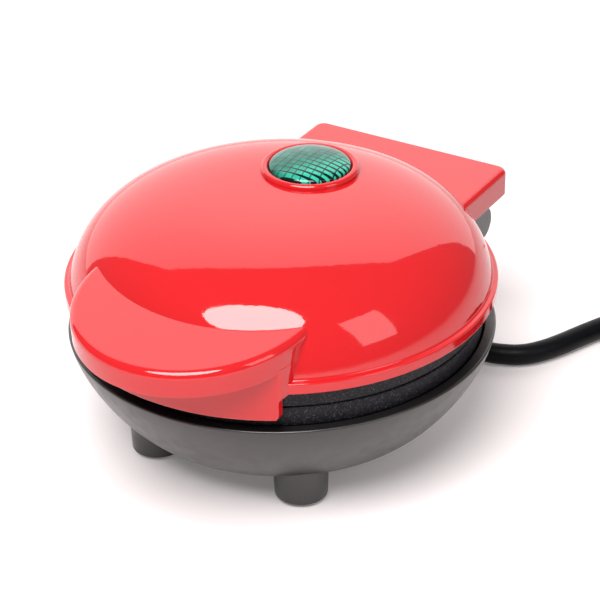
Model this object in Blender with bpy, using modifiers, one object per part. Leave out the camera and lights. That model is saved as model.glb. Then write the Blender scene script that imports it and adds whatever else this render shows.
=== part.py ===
"""Mini waffle maker: a round clamshell cooker with a hinged lid, in metres, +Z up.

The origin is on the surface it stands on, under the axis of the round body. The handle points to -Y and the
hinge is at +Y, with its axis along X.
"""

import math

import bmesh
import bpy
from mathutils import Matrix, Vector

# Fits between pieces.
GAP = 0.0003
RUNNING_CLEARANCE = 0.00008
OVERRUN = 0.0010

# Where the plates meet; the other levels are measured from there.
PARTING_Z = 0.0430
PARTING_GAP = 0.0003

# Lid shell: dome, lip and lens collar. The other round sizes follow the lip's radius.
LIP_RADIUS = 0.0650
LID_WALL = 0.0025
LID_EDGE_RISE = 0.0067
LID_EDGE_Z = PARTING_Z + LID_EDGE_RISE
LIP_HEIGHT = 0.0035
LIP_TOP_Z = LID_EDGE_Z + LIP_HEIGHT
LIP_EDGE_ROUND = 0.0005
LEDGE_FILLET = 0.0011
DOME_INSET = 0.00037
DOME_RADIUS = LIP_RADIUS - DOME_INSET
DOME_DROP = 0.0087
DOME_BASE_Z = PARTING_Z - DOME_DROP
DOME_RISE = 0.0454
DOME_POWER = 3.24
COLLAR_PROUD = 0.0015
COLLAR_TOP_Z = DOME_BASE_Z + DOME_RISE + COLLAR_PROUD
COLLAR_Y = 0.0176
COLLAR_HOLE_RADIUS = 0.01256
COLLAR_WIDTH = 0.00234
COLLAR_OUTER_RADIUS = COLLAR_HOLE_RADIUS + COLLAR_WIDTH
COLLAR_EDGE_ROUND = 0.0006

# Handle: an elliptical shelf that slopes down to the front, hollow from below.
HANDLE_HALF_WIDTH = 0.0365
HANDLE_HALF_DEPTH = 0.0381
HANDLE_REACH = 0.0175
HANDLE_CENTRE_Y = HANDLE_HALF_DEPTH - HANDLE_REACH - LIP_RADIUS
HANDLE_RISE = 0.0130
HANDLE_TOP_Z = LIP_TOP_Z + HANDLE_RISE
HANDLE_SLOPE = 0.07
HANDLE_WALL_HEIGHT = 0.0083
HANDLE_EDGE_ROUND = 0.0021

# Skirt: the handle's lower wall, which also covers the plates' edge.
SKIRT_PROUD = 0.0018
SKIRT_RADIUS = LIP_RADIUS + SKIRT_PROUD
SKIRT_WALL = 0.0024
SKIRT_ROOT = 0.0040
SKIRT_DROP = 0.0008
SKIRT_EDGE_Z = PARTING_Z - SKIRT_DROP
SKIRT_SINK = 0.0072
SKIRT_TOP_Z = HANDLE_TOP_Z - SKIRT_SINK
SKIRT_END_INSET = 0.0006
SKIRT_HALF_WIDTH = HANDLE_HALF_WIDTH - SKIRT_END_INSET
SKIRT_CORNER = 0.0023

# Rear block of the lid, and the hinge under it.
HINGE_REACH = 0.0058
HINGE_Y = LIP_RADIUS + HINGE_REACH
HINGE_RISE = 0.0011
HINGE_Z = PARTING_Z + HINGE_RISE
EAR_RADIUS = 0.0053
EAR_HALF_SPAN = 0.0320
EAR_WIDTH = 0.0120
EAR_WALL = 0.0022
BLOCK_PROUD = 0.0014
BLOCK_HALF_WIDTH = EAR_HALF_SPAN + BLOCK_PROUD
BLOCK_REACH = 0.01175
BLOCK_BACK_Y = HINGE_Y + BLOCK_REACH
BLOCK_RISE = 0.0068
BLOCK_TOP_Z = LIP_TOP_Z + BLOCK_RISE
BLOCK_CORNER = 0.0045
BLOCK_EDGE_ROUND = 0.0012
KNUCKLE_WIDTH = 0.0076
PIN_RADIUS = 0.0020
BUSH_RADIUS = 0.0030
BUSH_WALL = 0.0008
PIN_LENGTH = 0.0180
BUSH_LENGTH = 0.0100

# Waffle plates: both are the same casting, measured away from the face where they meet.
PLATE_INSET = 0.0042
PLATE_RADIUS = LIP_RADIUS - PLATE_INSET
PLATE_SWING_PLAY = 0.0013
PLATE_RIM_DEPTH = 0.0060
PLATE_RIM_WIDTH = 0.0095
PLATE_EDGE_ROUND = 0.0005
CAVITY_RADIUS = PLATE_RADIUS - PLATE_RIM_WIDTH
CAVITY_DEPTH = 0.0072
CAVITY_DRAFT = 0.0015
PLATE_FLOOR = 0.0024
PLATE_SIDE_WALL = 0.0022
PEG_PITCH = 0.0135
PEG_ROWS = 7
PEG_BASE = 0.0100
PEG_TIP = 0.0070
PEG_HEIGHT = 0.0046
PEG_FIELD_INSET = 0.0027
PEG_FIELD_RADIUS = CAVITY_RADIUS - PEG_FIELD_INSET
POST_CENTRE_RADIUS = 0.0240
POST_RADIUS = 0.0036
CHANNEL_RIB = 0.0016
CHANNEL_DEPTH = 0.0030
RIM_SCREW_INSET = 0.0033
RIM_SCREW_RADIUS = PLATE_RADIUS - RIM_SCREW_INSET

# Heating elements, their terminals and the heat shields.
ELEMENT_INSET = 0.0118
ELEMENT_CENTRE_RADIUS = CAVITY_RADIUS - ELEMENT_INSET
ELEMENT_RADIUS = 0.00325
ELEMENT_OPENING_DEG = 52.0
ELEMENT_PLAY = 0.0008
TERMINAL_RADIUS = 0.0021
TERMINAL_LENGTH = 0.0070
SHIELD_INSET = 0.0043
SHIELD_RADIUS = CAVITY_RADIUS - SHIELD_INSET
SHIELD_SHEET = 0.0006
SHIELD_LIP = 0.0025
SHIELD_HOLE_PLAY = 0.0008
SHIELD_NOTCH_WIDTH = 0.0340
LID_POST_LENGTH = 0.0080

# Screws.
SCREW_RADIUS = 0.0013
SCREW_HEAD_RADIUS = 0.0026
SCREW_HEAD_HEIGHT = 0.0018
SCREW_LENGTH = 0.0120
SCREW_HOLE_RADIUS = 0.0016
LID_BOSS_RADIUS = 0.0034
LID_BOSS_RISE = 0.0083
LID_BOSS_TOP_Z = LIP_TOP_Z + LID_BOSS_RISE
SHIELD_SCREW_LENGTH = 0.0060

# Indicator lens, retainer and lamp.
LENS_PLAY = 0.00025
LENS_FLANGE_RADIUS = 0.0136
LENS_FLANGE_THICKNESS = 0.0016
LENS_CROWN = 0.0024
LENS_EDGE_DROP = 0.0007
COLLAR_ROOF = 0.0024
HOUSING_WALL = 0.0020
HOUSING_DEPTH = 0.0100
HOUSING_SINK = 0.0014
RETAINER_HEIGHT = 0.0040
RETAINER_WALL = 0.0016
LAMP_RADIUS = 0.0028
LAMP_LENGTH = 0.0120
LAMP_LEAD_RADIUS = 0.0009

# Base shell: bowl, legs and the column where the cord comes out.
BASE_RIM_INSET = 0.0002
BASE_RIM_RADIUS = LIP_RADIUS - BASE_RIM_INSET
BASE_RIM_DROP = 0.0057
BASE_RIM_Z = PARTING_Z - BASE_RIM_DROP
BASE_RIM_WIDTH = 0.0036
BASE_WALL = 0.0026
BASE_RIM_ROUND = 0.0005
BOWL_SPREAD = 0.0199
BOWL_FLOOR_RADIUS = BASE_RIM_RADIUS - BOWL_SPREAD
BOWL_FLOOR_Z = 0.0095
BOWL_POWER = 1.35
LEG_X = 0.0254
LEG_Y = 0.0322
LEG_FOOT_RADIUS = 0.0079
LEG_TOP_RADIUS = 0.0087
LEG_TOP_Z = 0.0200
LEG_END_Z = 0.0009
LEG_FOOT_ROUND = 0.0008
LEG_BORE_RADIUS = 0.0052
LEG_FLOOR = 0.0026
PAD_RADIUS = 0.0065
PAD_THICKNESS = 0.0022
PAD_ROUND = 0.0004
BASE_BOSS_RADIUS = 0.0052
BASE_BOSS_TOP_Z = 0.0240
WELL_RADIUS = 0.0034
WELL_ROOF = 0.0030
BRACKET_ROOT = 0.0088
BRACKET_FOOT_Y = BASE_RIM_RADIUS - BRACKET_ROOT
BRACKET_DROP = 0.0083
BRACKET_FOOT_Z = BASE_RIM_Z - BRACKET_DROP
COLUMN_HALF_WIDTH = 0.0110
COLUMN_PROUD = 0.0042
COLUMN_BACK_Y = BASE_RIM_RADIUS + COLUMN_PROUD
COLUMN_DEPTH = 0.0240
COLUMN_FRONT_Y = COLUMN_BACK_Y - COLUMN_DEPTH
COLUMN_FOOT_Z = 0.0100
COLUMN_TOP_DROP = 0.0023
COLUMN_TOP_Z = BASE_RIM_Z - COLUMN_TOP_DROP
COLUMN_WALL = 0.0026

# Cord outlet: the strain relief points to +X and slopes down to the surface.
CORD_RADIUS = 0.0034
OUTLET_X = 0.0095
OUTLET_INSET = 0.0082
OUTLET_Y = COLUMN_BACK_Y - OUTLET_INSET
OUTLET_Z = 0.0185
OUTLET_SLOPE_DEG = 30.0
RELIEF_FLANGE_RADIUS = 0.0052
RELIEF_FLANGE = 0.0018
RELIEF_NECK_RADIUS = 0.0042
RELIEF_ROOT_RADIUS = 0.0047
RELIEF_TIP_RADIUS = 0.0040
RELIEF_LENGTH = 0.0160
RELIEF_RINGS = 4
RELIEF_GROOVE = 0.0006
OUTLET_WALL = 0.0024

# Inner cord end, its clamp and the wiring.
INNER_CORD_RADIUS = 0.0030
CLAMP_Y = 0.0330
CLAMP_HEIGHT = 0.0030
CLAMP_LENGTH = 0.0080
CLAMP_HALF_SPAN = 0.0110
CLAMP_SHEET = 0.0020
CLAMP_BOSS_RADIUS = 0.0030
WIRE_RADIUS = 0.0011
LINK_RADIUS = 0.0013
THERMOSTAT_RADIUS = 0.0075
THERMOSTAT_HEIGHT = 0.0080
THERMOSTAT_TAB = 0.0040
FUSE_RADIUS = 0.0022
FUSE_LENGTH = 0.0140
CONNECTOR_RADIUS = 0.0036
CONNECTOR_LENGTH = 0.0130
CONNECTOR_X = -0.0182
CONNECTOR_Y = -0.0150

# The cord: hand-chosen points of the route, across and along from the outlet and up from the surface, then a
# coil of three turns and the plug.
CORD_ROUTE = [
    (0.0250, 0.0001, 0.0047),
    (0.0284, 0.0004, 0.0039),
    (0.0317, 0.0011, 0.0035),
    (0.0353, 0.0026, 0.0034),
    (0.0394, 0.0047, 0.0034),
    (0.0430, 0.0082, 0.0034),
    (0.0459, 0.0130, 0.0034),
    (0.0485, 0.0183, 0.0034),
    (0.0507, 0.0237, 0.0034),
    (0.0530, 0.0291, 0.0034),
    (0.0559, 0.0350, 0.0034),
    (0.0601, 0.0410, 0.0034),
    (0.0657, 0.0460, 0.0036),
    (0.0723, 0.0498, 0.0040),
]
CORD_STEP = 0.0070
COIL_ACROSS = 0.1125
COIL_ALONG = 0.0242
COIL_CENTRE_X = OUTLET_X + COIL_ACROSS
COIL_CENTRE_Y = OUTLET_Y + COIL_ALONG
COIL_OUTER_RADIUS = 0.0400
COIL_START_DEG = 115.0
COIL_TURNS = 3.34
COIL_PITCH = 0.0074
COIL_POINTS_PER_TURN = 24
TIE_ANGLE_DEG = 215.0
TIE_WIDTH = 0.0060
TIE_THICKNESS = 0.0005
TIE_PLAY = 0.0005
PLUG_AXIS_Z = 0.0092
PLUG_RUN = 0.0180
PLUG_TURN_DEG = 6.0
PLUG_BODY_LENGTH = 0.0240
PLUG_BODY_WIDTH = 0.0230
PLUG_BODY_HEIGHT = 0.0172
PLUG_BODY_ROUND = 0.0035
PLUG_TAIL_LENGTH = 0.0160
PLUG_TAIL_ROOT_RADIUS = 0.0062
PLUG_TAIL_TIP_RADIUS = 0.0042
BLADE_SPACING = 0.0127
BLADE_WIDTH = 0.0063
BLADE_THICKNESS = 0.0015
BLADE_LENGTH = 0.0160
BLADE_NOSE = 0.0015

ROUND_STEPS = 48
HANDLE_STEPS = 32
INNER_STEPS = 28
PLATE_STEPS = 32
COLLAR_STEPS = 28
SMALL_STEPS = 16
RELIEF_STEPS = 10
BOLT_STEPS = 8
EDGE_SEGMENTS = 2

COIL_LIFT = TIE_THICKNESS + TIE_PLAY + RUNNING_CLEARANCE
DOME_FOOT_Z = LIP_TOP_Z + LEDGE_FILLET
INNER_LIP_RADIUS = LIP_RADIUS - LID_WALL
BASE_FLOOR_TOP_Z = BOWL_FLOOR_Z + BASE_WALL
LOWER_FACE_Z = PARTING_Z - PARTING_GAP / 2
UPPER_FACE_Z = PARTING_Z + PARTING_GAP / 2
PLATE_BACK_DEPTH = CAVITY_DEPTH + PLATE_FLOOR
CONNECTOR_Z = BASE_FLOOR_TOP_Z + CONNECTOR_RADIUS + GAP
ELEMENT_DEPTH = PLATE_BACK_DEPTH + GAP + ELEMENT_RADIUS
CHANNEL_OUTER = ELEMENT_CENTRE_RADIUS + ELEMENT_RADIUS + ELEMENT_PLAY
EAR_INNER_X = EAR_HALF_SPAN - EAR_WIDTH
KNUCKLE_OUTER_X = EAR_INNER_X - GAP
KNUCKLE_INNER_X = KNUCKLE_OUTER_X - KNUCKLE_WIDTH
LID_CABLE_END_Y = ELEMENT_CENTRE_RADIUS + 3 * TERMINAL_RADIUS
LID_CABLE_END_Z = UPPER_FACE_Z + PLATE_BACK_DEPTH + CHANNEL_DEPTH + 2 * LINK_RADIUS
HANDLE_TILT = math.atan(HANDLE_SLOPE)
OUTLET_SLOPE = math.radians(OUTLET_SLOPE_DEG)
POST_ANGLES_DEG = (29.0, 149.0, 269.0)
LEG_PLACES = {
    "front_left": (-LEG_X, -LEG_Y),
    "front_right": (LEG_X, -LEG_Y),
    "rear_left": (-LEG_X, LEG_Y),
    "rear_right": (LEG_X, LEG_Y),
}


def empty_scene():
    for old in list(bpy.data.objects):
        bpy.data.objects.remove(old, do_unlink=True)


def collection(name):
    made = bpy.data.collections.new(name)
    bpy.context.scene.collection.children.link(made)
    return made


empty_scene()
PARTS = collection("mini_waffle_maker")
CUTTERS = collection("cutters")


def finish(name, colour, roughness, metallic=0.0):
    made = bpy.data.materials.new(name)
    made.use_nodes = True
    shader = made.node_tree.nodes["Principled BSDF"]
    shader.inputs["Base Color"].default_value = (*colour, 1.0)
    shader.inputs["Roughness"].default_value = roughness
    shader.inputs["Metallic"].default_value = metallic
    made.diffuse_color = (*colour, 1.0)
    return made


RED = finish("red_gloss_plastic", (0.62, 0.02, 0.02), 0.12)
BLACK = finish("black_plastic", (0.03, 0.03, 0.03), 0.38)
GREEN = finish("green_lens", (0.02, 0.25, 0.16), 0.10)
COATING = finish("non_stick_coating", (0.03, 0.03, 0.035), 0.45, 0.3)
STEEL = finish("steel", (0.55, 0.55, 0.56), 0.30, 1.0)
SHEET = finish("aluminium_sheet", (0.70, 0.70, 0.72), 0.35, 1.0)
RUBBER = finish("black_rubber", (0.02, 0.02, 0.02), 0.70)
CERAMIC = finish("white_ceramic", (0.80, 0.79, 0.75), 0.50)
WIRE = finish("white_wire", (0.75, 0.75, 0.73), 0.50)
CORD = finish("black_cord", (0.015, 0.015, 0.015), 0.45)
AMBER = finish("lamp_glass", (0.80, 0.45, 0.20), 0.10)
NATURAL = finish("natural_plastic", (0.75, 0.73, 0.68), 0.45)


def place(mesh, name, paint, location=(0.0, 0.0, 0.0), rotation=None):
    """Links a named object that holds the mesh; a cutter has no finish."""
    item = bpy.data.objects.new(name, mesh)
    item.location = location
    if rotation is not None:
        item.rotation_euler = rotation.to_euler()
    if paint is None:
        item.hide_render = True
        item.display_type = "WIRE"
        CUTTERS.objects.link(item)
    else:
        mesh.materials.append(paint)
        PARTS.objects.link(item)
    return item


def smooth(mesh):
    mesh.shade_smooth()
    mesh.set_sharp_from_angle(angle=math.radians(35.0))


def mesh_of(name, shape):
    mesh = bpy.data.meshes.new(name)
    shape.to_mesh(mesh)
    shape.free()
    return mesh


def box(name, low, high, paint=None):
    """A cube scaled to the box between two corners."""
    low, high = Vector(low), Vector(high)
    shape = bmesh.new()
    bmesh.ops.create_cube(shape, size=1.0)
    bmesh.ops.scale(shape, vec=high - low, verts=shape.verts)
    return place(mesh_of(name, shape), name, paint, (low + high) / 2)


def rod(name, radius, low, high, paint=None, steps=SMALL_STEPS, tip_radius=None):
    """A cylinder or cone between two points, the given radius at the first."""
    low, high = Vector(low), Vector(high)
    shape = bmesh.new()
    bmesh.ops.create_cone(
        shape, cap_ends=True, segments=steps, radius1=radius,
        radius2=radius if tip_radius is None else tip_radius, depth=(high - low).length,
    )
    mesh = mesh_of(name, shape)
    smooth(mesh)
    turn = (high - low).to_track_quat("Z", "Y")
    return place(mesh, name, paint, (low + high) / 2, turn)


def turned(name, profile, paint=None, steps=ROUND_STEPS, ring=False, location=(0.0, 0.0, 0.0), rotation=None):
    """A profile of (radius, height) points, outer side first from the top, turned about its own Z."""
    shape = bmesh.new()
    points = [shape.verts.new((radius, 0.0, height)) for radius, height in profile]
    for start, end in zip(points, points[1:] + points[:1] if ring else points[1:]):
        shape.edges.new((start, end))
    item = place(mesh_of(name, shape), name, paint, location, rotation)
    screw = item.modifiers.new("turn", "SCREW")
    screw.angle = math.radians(360.0)
    screw.steps = screw.render_steps = steps
    screw.use_merge_vertices = True
    screw.merge_threshold = 0.00001
    screw.use_smooth_shade = True
    return item


def from_curve(curve, name, paint, rotation=None, location=(0.0, 0.0, 0.0)):
    """The curve's solid as a welded mesh, so that it can be cut and joined."""
    guide = bpy.data.objects.new(name + "_guide", curve)
    if rotation is not None:
        guide.rotation_euler = rotation.to_euler()
    guide.location = location
    PARTS.objects.link(guide)
    bpy.context.view_layer.update()
    mesh = bpy.data.meshes.new_from_object(guide.evaluated_get(bpy.context.evaluated_depsgraph_get()))
    turn = guide.matrix_world.copy()
    bpy.data.objects.remove(guide, do_unlink=True)
    shape = bmesh.new()
    shape.from_mesh(mesh)
    bmesh.ops.remove_doubles(shape, verts=shape.verts, dist=0.00001)
    shape.to_mesh(mesh)
    shape.free()
    mesh.materials.clear()
    item = place(mesh, name, paint)
    item.matrix_world = turn
    return item


def slab(name, outlines, thickness, paint=None, rotation=None, location=(0.0, 0.0, 0.0)):
    """A flat outline, with any inner outlines as holes, given a thickness about its own plane."""
    curve = bpy.data.curves.new(name, "CURVE")
    curve.dimensions = "2D"
    curve.fill_mode = "BOTH"
    curve.extrude = thickness / 2
    for outline in outlines:
        spline = curve.splines.new("POLY")
        spline.points.add(len(outline) - 1)
        for point, (across, up) in zip(spline.points, outline):
            point.co = (across, up, 0.0, 1.0)
        spline.use_cyclic_u = True
    return from_curve(curve, name, paint, rotation, location)


def tube(name, points, radius, paint, resolution=1):
    """A round tube along the points, with filled ends."""
    curve = bpy.data.curves.new(name, "CURVE")
    curve.dimensions = "3D"
    curve.bevel_depth = radius
    curve.bevel_resolution = resolution
    curve.use_fill_caps = True
    spline = curve.splines.new("POLY")
    spline.points.add(len(points) - 1)
    for point, place_ in zip(spline.points, points):
        point.co = (*place_, 1.0)
    curve.materials.append(paint)
    item = bpy.data.objects.new(name, curve)
    PARTS.objects.link(item)
    return item


def combine(target, operation, others):
    for other in others:
        modifier = target.modifiers.new(operation.lower(), "BOOLEAN")
        modifier.operation = operation
        modifier.solver = "EXACT"
        modifier.object = other
    return target


def unite(target, *others):
    return combine(target, "UNION", others)


def carve(target, *others):
    return combine(target, "DIFFERENCE", others)


def keep_inside(target, *others):
    return combine(target, "INTERSECT", others)


def round_edges(item, width, segments=EDGE_SEGMENTS, angle_deg=50.0):
    bevel = item.modifiers.new("round", "BEVEL")
    bevel.width = width
    bevel.segments = segments
    bevel.limit_method = "ANGLE"
    bevel.angle_limit = math.radians(angle_deg)
    bevel.use_clamp_overlap = True
    return item


def polar(radius, degrees, height=0.0):
    angle = math.radians(degrees)
    return Vector((radius * math.cos(angle), radius * math.sin(angle), height))


def rounded_rectangle(low, high, corner, steps=4):
    """The outline of a rectangle with round corners, as points."""
    outline = []
    centres = [
        (high[0] - corner, high[1] - corner), (low[0] + corner, high[1] - corner),
        (low[0] + corner, low[1] + corner), (high[0] - corner, low[1] + corner),
    ]
    for quarter, (across, up) in enumerate(centres):
        for step in range(steps + 1):
            angle = math.radians(90.0) * (quarter + step / steps)
            outline.append((across + corner * math.cos(angle), up + corner * math.sin(angle)))
    return outline


def superellipse(width, height, power, start_deg, end_deg, count):
    """Points of a quarter superellipse, as (across, up)."""
    points = []
    for index in range(count):
        angle = math.radians(start_deg + (end_deg - start_deg) * index / (count - 1))
        across = abs(math.cos(angle)) ** (2 / power) * width
        up = abs(math.sin(angle)) ** (2 / power) * height
        points.append((across if across > RUNNING_CLEARANCE else 0.0, up))
    return points


def smooth_route(points, step):
    """Points a step apart along the smooth curve through the given ones."""
    knots = [Vector(point) for point in points]
    knots = [2 * knots[0] - knots[1]] + knots + [2 * knots[-1] - knots[-2]]
    fine = []
    for before, start, end, after in zip(knots, knots[1:], knots[2:], knots[3:]):
        for index in range(20):
            t = index / 20
            fine.append(0.5 * (
                2 * start + (end - before) * t + (2 * before - 5 * start + 4 * end - after) * t ** 2
                + (3 * start - before - 3 * end + after) * t ** 3
            ))
    fine.append(knots[-2])
    total = sum((b - a).length for a, b in zip(fine, fine[1:]))
    count = max(2, round(total / step))
    picked, walked, index = [fine[0]], 0.0, 1
    for a, b in zip(fine, fine[1:]):
        length = (b - a).length
        while index < count and walked + length >= total * index / count:
            picked.append(a.lerp(b, (total * index / count - walked) / length))
            index += 1
        walked += length
    return picked + [fine[-1]]


def dome_profile(inset, foot_z, count):
    """Points of the dome from its apex down to a height, a wall's thickness inside if asked."""
    rise = DOME_RISE - inset
    share = ((foot_z - DOME_BASE_Z) / rise) ** (DOME_POWER / 2)
    foot_deg = math.degrees(math.asin(share))
    quarter = superellipse(DOME_RADIUS - inset, rise, DOME_POWER, 90.0, foot_deg, count)
    return [(radius, DOME_BASE_Z + height) for radius, height in quarter]


def lid_outline():
    lip_shoulder = LIP_RADIUS - LEDGE_FILLET
    outer = dome_profile(0.0, DOME_FOOT_Z, 9)
    return outer + [
        (outer[-1][0] + 0.3 * (lip_shoulder - outer[-1][0]), LIP_TOP_Z + 0.35 * LEDGE_FILLET),
        (lip_shoulder, LIP_TOP_Z),
        (LIP_RADIUS - LIP_EDGE_ROUND, LIP_TOP_Z),
        (LIP_RADIUS, LIP_TOP_Z - LIP_EDGE_ROUND),
        (LIP_RADIUS, LID_EDGE_Z + LIP_EDGE_ROUND),
        (LIP_RADIUS - LIP_EDGE_ROUND, LID_EDGE_Z),
        (0.0, LID_EDGE_Z),
    ]


def lid_cavity():
    step_z = LIP_TOP_Z - LID_WALL
    inner = dome_profile(LID_WALL, LIP_TOP_Z, 5)
    return turned("lid_cavity", inner + [
        (inner[-1][0], step_z + LIP_EDGE_ROUND),
        (INNER_LIP_RADIUS, step_z),
        (INNER_LIP_RADIUS, LID_EDGE_Z - OVERRUN),
        (0.0, LID_EDGE_Z - OVERRUN),
    ], steps=INNER_STEPS)


def handle_slab(name, inset, drop, height, tilt_angle=HANDLE_TILT):
    """The handle's elliptical slab, tilted down to the front, smaller and lower if asked."""
    shape = bmesh.new()
    bmesh.ops.create_cone(shape, cap_ends=True, segments=HANDLE_STEPS, radius1=1.0, radius2=1.0, depth=1.0)
    size = (HANDLE_HALF_WIDTH - inset, HANDLE_HALF_DEPTH - inset, height)
    bmesh.ops.scale(shape, vec=size, verts=shape.verts)
    tilt = Matrix.Rotation(tilt_angle, 4, "X")
    place_ = Vector((0.0, HANDLE_CENTRE_Y, HANDLE_TOP_Z - drop - height / 2))
    return place(mesh_of(name, shape), name, None, place_, tilt)


def handle():
    outer = handle_slab("handle_outer", 0.0, 0.0, HANDLE_WALL_HEIGHT)
    return round_edges(outer, HANDLE_EDGE_ROUND, 2, 60.0)


def handle_hollow():
    """The space under the handle: inside its wall, outside the skirt."""
    depth = HANDLE_WALL_HEIGHT + SKIRT_EDGE_Z / 2
    hollow = handle_slab("handle_hollow", LID_WALL, LID_WALL, depth)
    top_z = HANDLE_TOP_Z + OVERRUN
    stand = turned("handle_hollow_limit", [(0.0, top_z), (SKIRT_RADIUS, top_z), (SKIRT_RADIUS, 0.0), (0.0, 0.0)])
    return carve(hollow, stand)


def skirt():
    """A ring kept only inside the handle's plan and the front view's rounded outline."""
    inner = SKIRT_RADIUS - SKIRT_WALL
    root = DOME_RADIUS - SKIRT_ROOT
    step_z = LIP_TOP_Z - LIP_EDGE_ROUND
    ring = turned("skirt_ring", [
        (SKIRT_RADIUS, SKIRT_TOP_Z), (SKIRT_RADIUS, SKIRT_EDGE_Z + LIP_EDGE_ROUND),
        (SKIRT_RADIUS - LIP_EDGE_ROUND, SKIRT_EDGE_Z), (inner, SKIRT_EDGE_Z), (inner, step_z), (root, step_z),
        (root, SKIRT_TOP_Z),
    ], ring=True)
    outline = rounded_rectangle(
        (-SKIRT_HALF_WIDTH, SKIRT_EDGE_Z - LIP_EDGE_ROUND), (SKIRT_HALF_WIDTH, HANDLE_TOP_Z), SKIRT_CORNER
    )
    front = slab(
        "skirt_front", [outline], SKIRT_RADIUS + OVERRUN,
        rotation=Matrix.Rotation(math.radians(90.0), 4, "X"), location=(0.0, -(SKIRT_RADIUS + OVERRUN) / 2, 0.0),
    )
    front.location.y -= OVERRUN
    return keep_inside(ring, front, handle_slab("skirt_plan", 0.0, 0.0, HANDLE_TOP_Z, 0.0))


def block():
    depth = BLOCK_TOP_Z - LID_EDGE_Z
    outline = rounded_rectangle(
        (-BLOCK_HALF_WIDTH, HINGE_Y - 2 * EAR_WIDTH), (BLOCK_HALF_WIDTH, BLOCK_BACK_Y), BLOCK_CORNER
    )
    made = slab("block_outer", [outline], depth, location=(0.0, 0.0, LID_EDGE_Z + depth / 2))
    return round_edges(made, BLOCK_EDGE_ROUND, 2, 60.0)


def block_pocket():
    roof_z = BLOCK_TOP_Z - LID_WALL
    side = BLOCK_HALF_WIDTH - LID_WALL
    outline = rounded_rectangle(
        (-side, LIP_RADIUS + OVERRUN / 2), (side, BLOCK_BACK_Y - LID_WALL), BLOCK_CORNER - LID_WALL
    )
    depth = roof_z - LID_EDGE_Z + OVERRUN
    return slab("block_pocket", [outline], depth, location=(0.0, 0.0, roof_z - depth / 2))


def knuckle(side):
    """One lug of the lid: a barrel on the hinge's axis and its web up into the block."""
    name = "knuckle_left" if side < 0 else "knuckle_right"
    inner, outer = side * KNUCKLE_INNER_X, side * KNUCKLE_OUTER_X
    barrel = rod(name, EAR_RADIUS, (inner, HINGE_Y, HINGE_Z), (outer, HINGE_Y, HINGE_Z))
    web = box(
        name + "_web", (min(inner, outer), HINGE_Y - EAR_RADIUS * 0.8, HINGE_Z),
        (max(inner, outer), HINGE_Y + EAR_RADIUS * 0.8, BLOCK_TOP_Z - LID_WALL / 2),
    )
    return unite(barrel, web)


def lid_boss(index, angle):
    centre = polar(RIM_SCREW_RADIUS, angle)
    low = UPPER_FACE_Z + PLATE_RIM_DEPTH + GAP
    return rod(
        f"lid_boss_{index}", LID_BOSS_RADIUS, centre + Vector((0.0, 0.0, low)),
        centre + Vector((0.0, 0.0, LID_BOSS_TOP_Z)), steps=16,
    )


def lid_shell():
    shell = turned("lid_shell", lid_outline(), RED)
    collar = turned("lens_collar", [
        (0.0, COLLAR_TOP_Z), (COLLAR_OUTER_RADIUS - COLLAR_EDGE_ROUND, COLLAR_TOP_Z),
        (COLLAR_OUTER_RADIUS, COLLAR_TOP_Z - COLLAR_EDGE_ROUND),
        (COLLAR_OUTER_RADIUS, COLLAR_TOP_Z - HOUSING_DEPTH / 2), (0.0, COLLAR_TOP_Z - HOUSING_DEPTH / 2),
    ], steps=COLLAR_STEPS, location=(0.0, COLLAR_Y, 0.0))
    unite(shell, collar, handle(), block())
    carve(shell, lid_cavity(), handle_hollow(), block_pocket())
    flange_top = COLLAR_TOP_Z - COLLAR_ROOF
    housing_radius = LENS_FLANGE_RADIUS + GAP
    housing_foot = flange_top - HOUSING_DEPTH
    housing = turned("lens_housing", [
        (0.0, flange_top - HOUSING_SINK), (housing_radius + HOUSING_WALL, flange_top - HOUSING_SINK),
        (housing_radius + HOUSING_WALL, housing_foot), (0.0, housing_foot),
    ], steps=COLLAR_STEPS, location=(0.0, COLLAR_Y, 0.0))
    unite(shell, skirt(), housing, knuckle(-1), knuckle(1))
    unite(shell, *(lid_boss(index, angle) for index, angle in enumerate(POST_ANGLES_DEG, 1)))
    bosses = [
        rod(
            f"lid_boss_hole_{index}", SCREW_HOLE_RADIUS - RUNNING_CLEARANCE,
            polar(RIM_SCREW_RADIUS, angle, UPPER_FACE_Z), polar(RIM_SCREW_RADIUS, angle, LID_BOSS_TOP_Z - LID_WALL),
            steps=BOLT_STEPS,
        )
        for index, angle in enumerate(POST_ANGLES_DEG, 1)
    ]
    carve(
        shell,
        rod("lens_seat", housing_radius, (0.0, COLLAR_Y, housing_foot - OVERRUN), (0.0, COLLAR_Y, flange_top),
            steps=COLLAR_STEPS),
        rod("lens_hole", COLLAR_HOLE_RADIUS, (0.0, COLLAR_Y, flange_top - OVERRUN),
            (0.0, COLLAR_Y, COLLAR_TOP_Z + OVERRUN), steps=COLLAR_STEPS),
        rod("pin_bore", PIN_RADIUS + RUNNING_CLEARANCE, (0.0, HINGE_Y, HINGE_Z),
            (EAR_INNER_X, HINGE_Y, HINGE_Z)),
        rod("bush_bore", BUSH_RADIUS + RUNNING_CLEARANCE, (0.0, HINGE_Y, HINGE_Z),
            (-EAR_INNER_X, HINGE_Y, HINGE_Z)),
        box("cable_window", (-KNUCKLE_WIDTH, PLATE_RADIUS - 2 * LID_WALL, LID_EDGE_Z + LID_WALL),
            (KNUCKLE_WIDTH, LIP_RADIUS + LID_WALL, BLOCK_TOP_Z - 1.2 * LID_WALL)),
        *bosses,
    )
    return shell


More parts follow.
